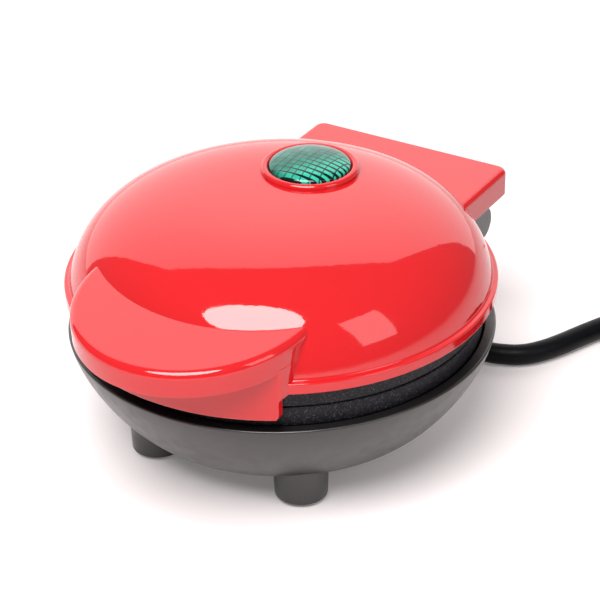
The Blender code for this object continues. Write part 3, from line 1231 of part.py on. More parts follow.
def cord_clamp():
    """A saddle over the inner cord, screwed to two bosses on the bowl's floor."""
    seat = BASE_FLOOR_TOP_Z + CLAMP_HEIGHT + GAP
    top = max(seat + CLAMP_SHEET, BASE_FLOOR_TOP_Z + 2 * INNER_CORD_RADIUS + 2 * GAP + CLAMP_SHEET)
    cord_z = BASE_FLOOR_TOP_Z + INNER_CORD_RADIUS + GAP
    half = CLAMP_LENGTH / 2
    saddle = box("cord_clamp", (-CLAMP_HALF_SPAN, CLAMP_Y - half, seat), (CLAMP_HALF_SPAN, CLAMP_Y + half, top), STEEL)
    boss_x = CLAMP_HALF_SPAN - CLAMP_BOSS_RADIUS
    carve(
        saddle,
        rod("clamp_saddle", INNER_CORD_RADIUS + GAP, (0.0, CLAMP_Y - CLAMP_LENGTH, cord_z),
            (0.0, CLAMP_Y + CLAMP_LENGTH, cord_z)),
    )
    for side, name in ((-1, "left"), (1, "right")):
        across = side * boss_x
        carve(saddle, rod(f"clamp_screw_hole_{name}", SCREW_HOLE_RADIUS, (across, CLAMP_Y, seat - OVERRUN),
                          (across, CLAMP_Y, top + OVERRUN), steps=BOLT_STEPS))
        screw(f"clamp_screw_{name}", (across, CLAMP_Y, top + GAP), (0.0, 0.0, -1.0), SHIELD_SCREW_LENGTH)


def coil_radius(turn):
    return COIL_OUTER_RADIUS - COIL_PITCH * min(turn, COIL_TURNS - turn)


def coil_point(turn):
    """The cord's centre after some turns: in on the lower layer, out on the upper, up in the half turn between."""
    run = (COIL_TURNS - 0.5) / 2
    rise = min(max((turn - run) / 0.5, 0.0), 1.0)
    spot = polar(coil_radius(turn), COIL_START_DEG - 360.0 * turn)
    ease = rise * rise * (3 - 2 * rise)
    return Vector((
        COIL_CENTRE_X + spot.x, COIL_CENTRE_Y + spot.y, CORD_RADIUS + COIL_LIFT + COIL_PITCH * ease,
    ))


def heading(degrees):
    return polar(1.0, degrees)


def cord(relief_tip):
    """The stretch along the surface, the coil and the plug, and the tie that holds the coil."""
    straight = 2 * CORD_RADIUS
    count = round(COIL_TURNS * COIL_POINTS_PER_TURN)
    turns = [coil_point(COIL_TURNS * index / count) for index in range(count + 1)]
    entry = turns[0] - heading(COIL_START_DEG - 90.0) * straight
    approach = heading(COIL_START_DEG - 90.0)
    start = relief_tip + outlet_direction() * GAP
    end = entry - approach * GAP
    laid = [(OUTLET_X + across, OUTLET_Y + along, up) for across, along, up in CORD_ROUTE]
    middle = [start + outlet_direction() * straight] + laid + [end - approach * straight]
    lead = [start] + smooth_route(middle, CORD_STEP) + [end]
    tube("cord_lead", lead, CORD_RADIUS, CORD, 2)
    end_deg = COIL_START_DEG - 360.0 * COIL_TURNS - 90.0
    bend = PLUG_RUN / math.radians(PLUG_TURN_DEG)
    tail = []
    for index in range(1, 5):
        turned_deg = PLUG_TURN_DEG * index / 4
        half = math.radians(turned_deg) / 2
        chord = 2 * bend * math.sin(half)
        fall = (PLUG_AXIS_Z - turns[-1].z) * index / 4
        tail.append(turns[-1] + heading(end_deg + turned_deg / 2) * chord + Vector((0.0, 0.0, fall)))
    out = heading(end_deg + PLUG_TURN_DEG)
    tail.append(tail[-1] + out * straight)
    coil = [entry] + turns + tail
    tube("cord_coil", coil, CORD_RADIUS, CORD, 1)
    report_cord(lead, coil)
    plug(tail[-1] + out * GAP, out)
    coil_tie()


def report_cord(lead, coil):
    """Prints the cord's length and the coil's least gap to itself."""
    lead_length = sum((b - a).length for a, b in zip(lead, lead[1:]))
    coil_length = sum((b - a).length for a, b in zip(coil, coil[1:]))
    least = min(
        (a - b).length
        for index, a in enumerate(coil) for b in coil[index + COIL_POINTS_PER_TURN // 2:]
    )
    print(f"cord: {lead_length:.4f} m to the coil, {coil_length:.4f} m in it, "
          f"{lead_length + coil_length:.4f} m in all; least gap of the coil to itself "
          f"{(least - 2 * CORD_RADIUS) * 1000:.2f} mm")


def plug(start, out):
    """A moulded two-blade plug that lies beside the coil."""
    tail_end = start + out * PLUG_TAIL_LENGTH
    body_end = tail_end + out * PLUG_BODY_LENGTH
    turn = out.to_track_quat("X", "Z")
    shape = bmesh.new()
    bmesh.ops.create_cube(shape, size=1.0)
    bmesh.ops.scale(shape, vec=(PLUG_BODY_LENGTH, PLUG_BODY_WIDTH, PLUG_BODY_HEIGHT), verts=shape.verts)
    body = place(mesh_of("plug_body", shape), "plug_body", CORD, (tail_end + body_end) / 2, turn)
    round_edges(body, PLUG_BODY_ROUND, 3, 60.0)
    unite(body, rod("plug_tail", PLUG_TAIL_TIP_RADIUS, start, tail_end + out * PLUG_BODY_ROUND, steps=16,
                    tip_radius=PLUG_TAIL_ROOT_RADIUS))
    side = Vector((-out.y, out.x, 0.0))
    for sign, name in ((1, "left"), (-1, "right")):
        shape = bmesh.new()
        bmesh.ops.create_cube(shape, size=1.0)
        bmesh.ops.scale(shape, vec=(BLADE_LENGTH, BLADE_THICKNESS, BLADE_WIDTH), verts=shape.verts)
        nose = [edge for edge in shape.edges
                if all(vert.co.x > 0 for vert in edge.verts) and abs(edge.verts[0].co.y - edge.verts[1].co.y) > 0]
        bmesh.ops.bevel(shape, geom=nose, offset=BLADE_NOSE, segments=1, profile=0.5, affect="EDGES")
        middle = body_end + out * (GAP + BLADE_LENGTH / 2) + side * (sign * BLADE_SPACING / 2)
        place(mesh_of(f"plug_blade_{name}", shape), f"plug_blade_{name}", STEEL, middle, turn)


def coil_tie():
    """A flat band round both layers of the coil, where the loops pass the tie's angle."""
    first = ((COIL_START_DEG - TIE_ANGLE_DEG) / 360.0) % 1.0
    radii = [coil_radius(first + loop) for loop in range(math.ceil(COIL_TURNS - first))]
    inner = min(radii) - CORD_RADIUS - TIE_PLAY
    outer = max(radii) + CORD_RADIUS + TIE_PLAY
    low = COIL_LIFT - TIE_PLAY
    high = COIL_LIFT + 2 * CORD_RADIUS + COIL_PITCH + TIE_PLAY
    hole = rounded_rectangle((inner, low), (outer, high), CORD_RADIUS / 2)
    rim = rounded_rectangle(
        (inner - TIE_THICKNESS, low - TIE_THICKNESS), (outer + TIE_THICKNESS, high + TIE_THICKNESS),
        CORD_RADIUS / 2 + TIE_THICKNESS,
    )
    turn = Matrix.Rotation(math.radians(TIE_ANGLE_DEG), 4, "Z") @ Matrix.Rotation(math.radians(90.0), 4, "X")
    slab("cord_tie", [rim, hole], TIE_WIDTH, RUBBER, turn, (COIL_CENTRE_X, COIL_CENTRE_Y, 0.0))


def lower_plate():
    end_depth = LOWER_FACE_Z - BASE_BOSS_TOP_Z - GAP
    return waffle_plate("lower_plate", LOWER_FACE_Z, -1, end_depth, SCREW_RADIUS + RUNNING_CLEARANCE)


def terminals():
    for side, name in ((-1, "left"), (1, "right")):
        terminal(f"lower_terminal_{name}", LOWER_FACE_Z, -1, side)
        terminal(f"upper_terminal_{name}", UPPER_FACE_Z, 1, side)


def main():
    lid_shell()
    upper_plate()
    upper_shield()
    element("upper_element", UPPER_FACE_Z, 1)
    lens()
    retainer()
    lamp()
    base_shell()
    foot_pads()
    lower_plate()
    lower_shield()
    element("lower_element", LOWER_FACE_Z, -1)
    terminals()
    screws()
    hinge_pins()
    thermostat()
    wiring()
    link_cables()
    cord_clamp()
    cord(strain_relief())


main()
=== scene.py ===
"""Mini waffle maker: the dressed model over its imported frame, in metres, +Z up.

The handle points to -Y and the hinge is at +Y, with its axis along X. Every piece rides on the base or on the
lid, and the lid turns about the hinge.
"""

import itertools
import logging
import math
from dataclasses import dataclass, field
from enum import Enum
from typing import Callable, Dict, Iterable, List, Optional, Sequence, Tuple, Union

import bmesh
import bpy
from mathutils import Matrix, Vector


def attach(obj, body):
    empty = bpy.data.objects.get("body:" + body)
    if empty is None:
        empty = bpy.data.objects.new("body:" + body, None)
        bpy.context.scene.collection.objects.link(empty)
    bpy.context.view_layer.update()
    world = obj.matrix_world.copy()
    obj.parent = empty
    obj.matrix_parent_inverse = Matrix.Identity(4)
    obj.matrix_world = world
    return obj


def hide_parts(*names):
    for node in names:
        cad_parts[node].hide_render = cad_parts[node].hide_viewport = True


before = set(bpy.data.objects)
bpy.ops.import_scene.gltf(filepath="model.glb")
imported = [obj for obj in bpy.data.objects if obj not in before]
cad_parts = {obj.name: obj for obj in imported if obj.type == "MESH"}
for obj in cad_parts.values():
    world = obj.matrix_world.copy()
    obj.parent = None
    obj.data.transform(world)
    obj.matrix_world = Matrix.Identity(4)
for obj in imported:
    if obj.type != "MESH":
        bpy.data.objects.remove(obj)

LOG = logging.getLogger("waffle_maker")
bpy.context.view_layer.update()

Colour = Tuple[float, float, float]
Point2 = Tuple[float, float]
Point3 = Tuple[float, float, float]
Corner = Tuple[float, float, float]


class Body(Enum):
    """The two bodies that the hinge joins."""

    BASE = "base"
    LID = "lid"


class Slot(Enum):
    """The record's material slots."""

    LID_PLASTIC = "lid_plastic"
    BASE_PLASTIC = "base_plastic"
    LENS = "lens"
    COATING = "non_stick_plate"
    STEEL = "steel"
    SHEET = "aluminium_sheet"
    RUBBER = "rubber"
    CERAMIC = "ceramic"
    NATURAL = "natural_plastic"
    WIRE = "wire"
    CORD = "cord"
    LAMP = "lamp"


class Cut(Enum):
    """How one solid is put together with another."""

    UNION = "UNION"
    DIFFERENCE = "DIFFERENCE"
    INTERSECT = "INTERSECT"


# ---- Materials


class Value:
    """A number or vector socket of a material, with the operators that the patterns use."""

    def __init__(self, graph: "Graph", socket: bpy.types.NodeSocket) -> None:
        """Keeps the socket and the graph that it belongs to."""
        self.graph = graph
        self.socket = socket

    def _maths(self, operation: str, first: "Operand", second: "Operand" = 0.0) -> "Value":
        """Adds a Math node for one operation.

        Args:
            operation: The Math node's operation.
            first: Its first value.
            second: Its second value.

        Returns:
            The node's result.
        """
        made = self.graph.node("ShaderNodeMath", {"operation": operation}, {0: first, 1: second})
        return Value(self.graph, made.outputs[0])

    def __add__(self, other: "Operand") -> "Value":
        """Sum."""
        return self._maths("ADD", self, other)

    __radd__ = __add__

    def __sub__(self, other: "Operand") -> "Value":
        """Difference."""
        return self._maths("SUBTRACT", self, other)

    def __rsub__(self, other: "Operand") -> "Value":
        """Difference from a plain number."""
        return self._maths("SUBTRACT", other, self)

    def __mul__(self, other: "Operand") -> "Value":
        """Product."""
        return self._maths("MULTIPLY", self, other)

    __rmul__ = __mul__

    def minimum(self, other: "Operand") -> "Value":
        """The lesser of the two."""
        return self._maths("MINIMUM", self, other)

    def maximum(self, other: "Operand") -> "Value":
        """The greater of the two."""
        return self._maths("MAXIMUM", self, other)

    def from_middle(self) -> "Value":
        """Distance from the nearest half, so 0 in the middle of each unit cell and 0.5 at its edges."""
        return self._maths("ABSOLUTE", self._maths("FRACT", self) - 0.5)

    def ramp(self, low: float, high: float, start: float = 0.0, end: float = 1.0) -> "Value":
        """Maps a range of the value onto another smoothly, and holds it at the ends.

        Args:
            low: The value that gives the start.
            high: The value that gives the end.
            start: The result at the low value.
            end: The result at the high value.

        Returns:
            The mapped value.
        """
        made = self.graph.node(
            "ShaderNodeMapRange", {"interpolation_type": "SMOOTHSTEP"},
            {"Value": self, "From Min": low, "From Max": high, "To Min": start, "To Max": end},
        )
        return Value(self.graph, made.outputs["Result"])


Operand = Union[Value, float]


class Graph:
    """The nodes of one material."""

    def __init__(self, name: str) -> None:
        """Makes an empty material of that name.

        Args:
            name: The material's name.
        """
        self.material = bpy.data.materials.new(name)
        self.material.use_nodes = True
        self.tree = self.material.node_tree
        self.tree.nodes.clear()

    def node(
        self, kind: str, settings: Optional[dict] = None, inputs: Optional[dict] = None
    ) -> bpy.types.Node:
        """Adds a node.

        Args:
            kind: The node's type.
            settings: Its properties, set before its sockets.
            inputs: Values or links by the name or index of the socket.

        Returns:
            The node.
        """
        made = self.tree.nodes.new(kind)
        for name, value in (settings or {}).items():
            setattr(made, name, value)
        for key, value in (inputs or {}).items():
            socket = made.inputs[key]
            if isinstance(value, Value):
                self.tree.links.new(value.socket, socket)
            elif isinstance(value, bpy.types.NodeSocket):
                self.tree.links.new(value, socket)
            else:
                socket.default_value = value
        return made

    def place(self, centre: Point3 = (0.0, 0.0, 0.0), turn_deg: float = 0.0) -> Value:
        """Object coordinates, moved to a centre and turned about Z.

        Args:
            centre: The place, in metres, that becomes the origin.
            turn_deg: The turn about Z.

        Returns:
            The coordinates.
        """
        source = self.node("ShaderNodeTexCoord").outputs["Object"]
        made = self.node(
            "ShaderNodeMapping", {"vector_type": "TEXTURE"},
            {"Vector": source, "Location": centre, "Rotation": (0.0, 0.0, math.radians(turn_deg))},
        )
        return Value(self, made.outputs["Vector"])

    def axes(self, place: Value) -> Tuple[Value, Value, Value]:
        """The three numbers of a place."""
        made = self.node("ShaderNodeSeparateXYZ", None, {"Vector": place})
        return tuple(Value(self, made.outputs[name]) for name in ("X", "Y", "Z"))

    def noise(self, size: float, detail: float = 2.0, place: Optional[Value] = None) -> Value:
        """Soft noise.

        Args:
            size: The size of its features, in metres.
            detail: How many finer layers it has.
            place: The coordinates, or none for the object's own.

        Returns:
            The noise, from 0 to 1.
        """
        made = self.node(
            "ShaderNodeTexNoise", None,
            {"Vector": place or self.place(), "Scale": 1.0 / size, "Detail": detail, "Roughness": 0.55},
        )
        return Value(self, made.outputs[0])

    def cells(self, size: float) -> Value:
        """Distance from the nearest of many scattered points, in units of their mean spacing."""
        made = self.node("ShaderNodeTexVoronoi", None, {"Vector": self.place(), "Scale": 1.0 / size})
        return Value(self, made.outputs["Distance"])

    def blend(self, factor: Operand, first: Union[Colour, Value], second: Union[Colour, Value]) -> Value:
        """Mixes two colours.

        Args:
            factor: The share of the second.
            first: The first colour.
            second: The second colour.

        Returns:
            The colour.
        """
        colours = [(*item, 1.0) if isinstance(item, tuple) else item for item in (first, second)]
        made = self.node(
            "ShaderNodeMix", {"data_type": "RGBA", "clamp_factor": True},
            {0: factor, 6: colours[0], 7: colours[1]},
        )
        return Value(self, made.outputs[2])

    def bump(self, height: Value, distance: float) -> Value:
        """A normal that leans as a height of so many metres would make it."""
        made = self.node("ShaderNodeBump", None, {"Height": height, "Distance": distance})
        return Value(self, made.outputs["Normal"])

    def surface(self, shader: bpy.types.NodeSocket) -> None:
        """Joins a shader to the material's output."""
        self.node("ShaderNodeOutputMaterial", None, {"Surface": shader})


def shade(colour: Colour, factor: float) -> Colour:
    """The colour made darker or lighter by a factor."""
    return tuple(min(1.0, part * factor) for part in colour)


@dataclass(frozen=True)
class Finish:
    """A moulded finish with a faint mottle, uneven gloss and a fine grain."""

    name: str
    colour: Colour
    roughness: float
    slot: Slot
    metallic: float = 0.0
    ior: float = 1.50
    coat: float = 0.0
    coat_roughness: float = 0.03
    mottle: float = 0.06
    mottle_size: float = 0.006
    uneven: float = 0.15
    grain: float = 0.00002
    grain_size: float = 0.0004

    def material(self) -> bpy.types.Material:
        """The finish's material, made when it is first needed."""
        known = bpy.data.materials.get(self.name)
        return known or self.build()

    def colours(self, graph: Graph) -> Value:
        """The colour over the surface.

        Args:
            graph: The material's nodes.

        Returns:
            The colour.
        """
        patch = graph.noise(self.mottle_size, 3.0).ramp(0.3, 0.7)
        darker, lighter = shade(self.colour, 1.0 - self.mottle), shade(self.colour, 1.0 + self.mottle)
        return graph.blend(patch, darker, lighter)

    def gloss(self, graph: Graph) -> Value:
        """The roughness over the surface."""
        least, most = self.roughness * (1.0 - self.uneven), self.roughness * (1.0 + self.uneven)
        return graph.noise(self.mottle_size / 3, 3.0).ramp(0.25, 0.75, least, most)

    def relief(self, graph: Graph) -> Value:
        """The surface's fine relief as a normal."""
        return graph.bump(graph.noise(self.grain_size, 2.0), self.grain)

    def extras(self) -> Dict[str, Union[float, Tuple[float, ...]]]:
        """Further settings of the shader, by socket."""
        return {}

    def build(self) -> bpy.types.Material:
        """Makes the material.

        Returns:
            The material.
        """
        graph = Graph(self.name)
        settings = {
            "Base Color": self.colours(graph), "Roughness": self.gloss(graph), "Normal": self.relief(graph),
            "Metallic": self.metallic, "IOR": self.ior, "Coat Weight": self.coat,
            "Coat Roughness": self.coat_roughness,
        }
        settings.update(self.extras())
        graph.surface(graph.node("ShaderNodeBsdfPrincipled", None, settings).outputs[0])
        return graph.material


@dataclass(frozen=True)
class CoatedCasting(Finish):
    """A dark non-stick coating with fine light flecks over a cast surface."""

    fleck_size: float = 0.00030
    fleck: Colour = (0.20, 0.18, 0.26)

    def colours(self, graph: Graph) -> Value:
        """Dark, with scattered light flecks.

        Args:
            graph: The material's nodes.

        Returns:
            The colour.
        """
        specks = graph.cells(self.fleck_size).ramp(0.12, 0.42, 1.0, 0.0)
        sparse = graph.noise(self.fleck_size * 2.5, 1.0).ramp(0.40, 0.70)
        return graph.blend(specks * sparse, self.colour, self.fleck)

    def relief(self, graph: Graph) -> Value:
        """The sprayed coat's pebbly skin."""
        height = graph.noise(self.grain_size, 3.0) + graph.cells(self.fleck_size).ramp(0.1, 0.5, 0.5, 0.0)
        return graph.bump(height, self.grain)


@dataclass(frozen=True)
class PrismLens(Finish):
    """A smooth green lens over square prisms, whose rows look bent through the crown.

    Its colour is painted light. The prisms' lit faces are painted as a bright glow that grows towards the
    front. The shade between them is painted as dark grooves and, towards the front, as wider dark bars.
    """

    centre: Point3 = (0.0, 0.0176, 0.0)
    radius: float = 0.0123
    front_deg: float = -32.0
    pitch: float = 0.0021
    row_pitch: float = 0.0020
    column_shift: float = 0.0016
    column_bow: float = 1300.0
    row_droop: float = 3.0
    row_bow: float = 60.0
    groove: Point2 = (0.41, 0.48)
    # Where the bars of painted shade start, how they widen towards the front, and how soft their edges are.
    shade_bar_start: float = 0.47
    shade_bar_growth: float = 0.24
    shade_bar_blur: float = 0.03
    # The colour of the painted shade, and of the painted glow on the prisms' lit faces.
    painted_shade: Colour = (0.001, 0.010, 0.008)
    painted_glow: Colour = (0.035, 0.46, 0.32)

    def cell(self, graph: Graph) -> Tuple[Value, Value]:
        """The place within the prisms' grid, across and along, in cells.

        Args:
            graph: The material's nodes.

        Returns:
            The two numbers.
        """
        across, along, _ = graph.axes(graph.place(self.centre))
        spread = across * across + along * along
        columns = across * (1.0 - spread * self.column_bow) + self.column_shift
        rows = along * (1.0 - spread * self.row_bow) - across * across * self.row_droop
        return columns * (1.0 / self.pitch), rows * (1.0 / self.row_pitch)

    def forward(self, graph: Graph) -> Value:
        """How far a place lies towards the front, from 0 at the middle to 1 at the rim."""
        toward, _, _ = graph.axes(graph.place(self.centre, self.front_deg))
        return (toward * (1.0 / self.radius)).maximum(0.0)

    def colours(self, graph: Graph) -> Value:
        """Prisms lit with a painted glow, between grooves of painted shade and, towards the front, bars of
        painted shade.

        Args:
            graph: The material's nodes.

        Returns:
            The colour.
        """
        across, along = self.cell(graph)
        front = self.forward(graph)
        # Painted shade in the grooves between the prisms.
        groove = across.from_middle().ramp(*self.groove)
        # Bars of painted shade, wider towards the front.
        shade_bar_edge = self.shade_bar_start - front * self.shade_bar_growth
        painted_shade_bar = (along.from_middle() - shade_bar_edge).ramp(-self.shade_bar_blur, self.shade_bar_blur)
        # Painted glow: the prisms are painted brighter towards the front, with random patches.
        tint = front.ramp(-0.1, 0.9) + graph.noise(self.pitch * 1.3, 1.0).ramp(0.35, 0.75, 0.0, 0.25)
        body = graph.blend(tint, self.colour, self.painted_glow)
        # The painted shade of the grooves and bars lies over the painted glow.
        return graph.blend(groove.maximum(painted_shade_bar), body, self.painted_shade)

    def extras(self) -> Dict[str, Union[float, Tuple[float, ...]]]:
        """Only the smooth crown shines."""
        return {"Specular IOR Level": 0.0, "Coat IOR": 1.45}

    def relief(self, graph: Graph) -> Value:
        """A pyramid in each cell.

        Args:
            graph: The material's nodes.

        Returns:
            The normal.
        """
        across, along = self.cell(graph)
        height = 0.5 - across.from_middle().maximum(along.from_middle())
        return graph.bump(height, self.pitch * 0.15)


@dataclass(frozen=True)
class BrushedMetal(Finish):
    """Drawn or turned metal with fine lines."""

    stretch: float = 12.0
    uneven: float = 0.25

    def gloss(self, graph: Graph) -> Value:
        """Roughness in long streaks.

        Args:
            graph: The material's nodes.

        Returns:
            The roughness.
        """
        source = graph.node("ShaderNodeTexCoord").outputs["Object"]
        scale = (1.0, self.stretch, self.stretch)
        along = graph.node("ShaderNodeMapping", None, {"Vector": source, "Scale": scale})
        lines = graph.noise(self.mottle_size, 4.0, Value(graph, along.outputs["Vector"]))
        least, most = self.roughness * (1.0 - self.uneven), self.roughness * (1.0 + self.uneven)
        return lines.ramp(0.3, 0.7, least, most)


@dataclass(frozen=True)
class Jacket(Finish):
    """Extruded insulation, slightly swollen here and there."""

    swelling: float = 0.0012

    def relief(self, graph: Graph) -> Value:
        """Slow swellings and a fine grain."""
        height = graph.noise(self.swelling, 1.0) * 0.6 + graph.noise(self.grain_size, 2.0) * 0.4
        return graph.bump(height, self.grain)


RED = Finish(
    "glossy_red_plastic", (0.590, 0.0115, 0.015), 0.055, Slot.LID_PLASTIC, ior=1.60, mottle=0.015,
    mottle_size=0.02, uneven=0.25, grain=0.000018, grain_size=0.0030,
)
BLACK = Finish(
    "satin_black_plastic", (0.008, 0.007, 0.007), 0.34, Slot.BASE_PLASTIC, ior=1.72, mottle=0.05,
    mottle_size=0.012, uneven=0.14, grain=0.000006, grain_size=0.0006,
)
COATING = CoatedCasting(
    "speckled_non_stick_coating", (0.005, 0.005, 0.007), 0.46, Slot.COATING, ior=1.34, grain=0.00003,
)
LENS = PrismLens(
    "green_prism_lens", (0.004, 0.095, 0.066), 0.30, Slot.LENS, ior=1.25, coat=1.0, coat_roughness=0.02,
)
STEEL = BrushedMetal("bright_steel", (0.58, 0.57, 0.56), 0.26, Slot.STEEL, metallic=1.0, grain=0.000004)
SHEET = BrushedMetal(
    "rolled_aluminium", (0.74, 0.75, 0.77), 0.34, Slot.SHEET, metallic=1.0, grain=0.000005,
)
RUBBER = Finish("black_rubber", (0.018, 0.017, 0.017), 0.62, Slot.RUBBER, grain=0.00003, grain_size=0.0003)
CERAMIC = Finish("white_ceramic", (0.78, 0.76, 0.71), 0.45, Slot.CERAMIC)
NATURAL = Finish("natural_nylon", (0.74, 0.71, 0.63), 0.42, Slot.NATURAL, mottle=0.04)
WIRE = Jacket("white_wire_sleeve", (0.76, 0.75, 0.72), 0.48, Slot.WIRE, mottle=0.03, grain=0.00003)
CORD = Jacket(
    "black_cord_jacket", (0.003, 0.003, 0.004), 0.42, Slot.CORD, ior=1.22, mottle=0.08, swelling=0.006,
)
SLEEVE = Jacket("black_silicone_sleeve", (0.020, 0.019, 0.019), 0.50, Slot.WIRE, grain=0.00003)
LAMP = Finish("amber_lamp_glass", (0.85, 0.42, 0.16), 0.08, Slot.LAMP, coat=0.6, mottle=0.10)


# ---- Meshes


def filleted(corners: Sequence[Corner], segments: int = 5, closed: bool = False) -> List[Point2]:
    """Rounds the corners of an outline.

    Args:
        corners: Its corners, as across, up and the corner's radius.
        segments: The steps of each arc.
        closed: Whether the outline returns to its start.

    Returns:
        The outline's points.
    """
    outline: List[Point2] = []
    for index, (across, up, radius) in enumerate(corners):
        ends = index in (0, len(corners) - 1) and not closed
        if not radius or ends:
            outline.append((across, up))
            continue
        here = Vector((across, up))
        before = Vector(corners[index - 1][:2]) - here
        after = Vector(corners[(index + 1) % len(corners)][:2]) - here
        half = before.angle(after) / 2
        # A side with a round at both of its ends is shared between them.
        room = [
            side.length * (0.49 if corners[other % len(corners)][2] else 0.98)
            for side, other in ((before, index - 1), (after, index + 1))
        ]
        trim = min(radius / math.tan(half), *room)
        radius = trim * math.tan(half)
        middle = here + (before.normalized() + after.normalized()).normalized() * (radius / math.sin(half))
        start = here + before.normalized() * trim - middle
        sweep = start.angle_signed(here + after.normalized() * trim - middle)
        for step in range(segments + 1):
            turned = start.copy()
            turned.rotate(Matrix.Rotation(-sweep * step / segments, 2))
            outline.append(tuple(middle + turned))
    return outline


def superellipse(
    width: float, height: float, power: float, start_deg: float, end_deg: float, count: int
) -> List[Point2]:
    """Points of a quarter superellipse.

    Args:
        width: Its half width.
        height: Its height.
        power: Its exponent.
        start_deg: Where the points start, from 0 at its foot to 90 at its top.
        end_deg: Where they end.
        count: How many there are.

    Returns:
        The points, as across and up.
    """
    points = []
    for index in range(count):
        angle = math.radians(start_deg + (end_deg - start_deg) * index / (count - 1))
        across = abs(math.cos(angle)) ** (2 / power) * width
        points.append((across if across > 1e-6 else 0.0, abs(math.sin(angle)) ** (2 / power) * height))
    return points


def arc(middle: Point2, radius: float, start_deg: float, end_deg: float, steps: int = 20) -> List[Point2]:
    """Points along an arc, from a start angle to an end angle."""
    angles = [math.radians(start_deg + (end_deg - start_deg) * step / steps) for step in range(steps + 1)]
    return [(middle[0] + radius * math.cos(angle), middle[1] + radius * math.sin(angle)) for angle in angles]


def rounded_rectangle(low: Point2, high: Point2, corner: float, segments: int = 8) -> List[Point2]:
    """The outline of a rectangle with round corners."""
    corners = [(high[0], high[1]), (low[0], high[1]), low, (high[0], low[1])]
    return filleted([(*place, corner) for place in corners], segments, closed=True)


def polar(radius: float, degrees: float, height: float = 0.0) -> Vector:
    """A place at a distance and an angle from the vertical axis."""
    angle = math.radians(degrees)
    return Vector((radius * math.cos(angle), radius * math.sin(angle), height))


def bearing(azimuth_deg: float, elevation_deg: float) -> Vector:
    """The direction at an azimuth from the front towards +X, and an elevation."""
    flat = polar(math.cos(math.radians(elevation_deg)), azimuth_deg - 90.0)
    return Vector((flat.x, flat.y, math.sin(math.radians(elevation_deg))))


def added(name: str, data: bpy.types.ID) -> bpy.types.Object:
    """Puts an object in the scene.

    Args:
        name: Its name.
        data: Its mesh, curve, lamp or camera.

    Returns:
        The object.
    """
    item = bpy.data.objects.new(name, data)
    bpy.context.scene.collection.objects.link(item)
    return item


SIDEWAYS = Matrix.Rotation(math.radians(90.0), 4, "Z") @ Matrix.Rotation(math.radians(90.0), 4, "X")
FORWARDS = Matrix.Rotation(math.radians(90.0), 4, "X")
PAST = 0.001  # How far a cutter runs past what it cuts.


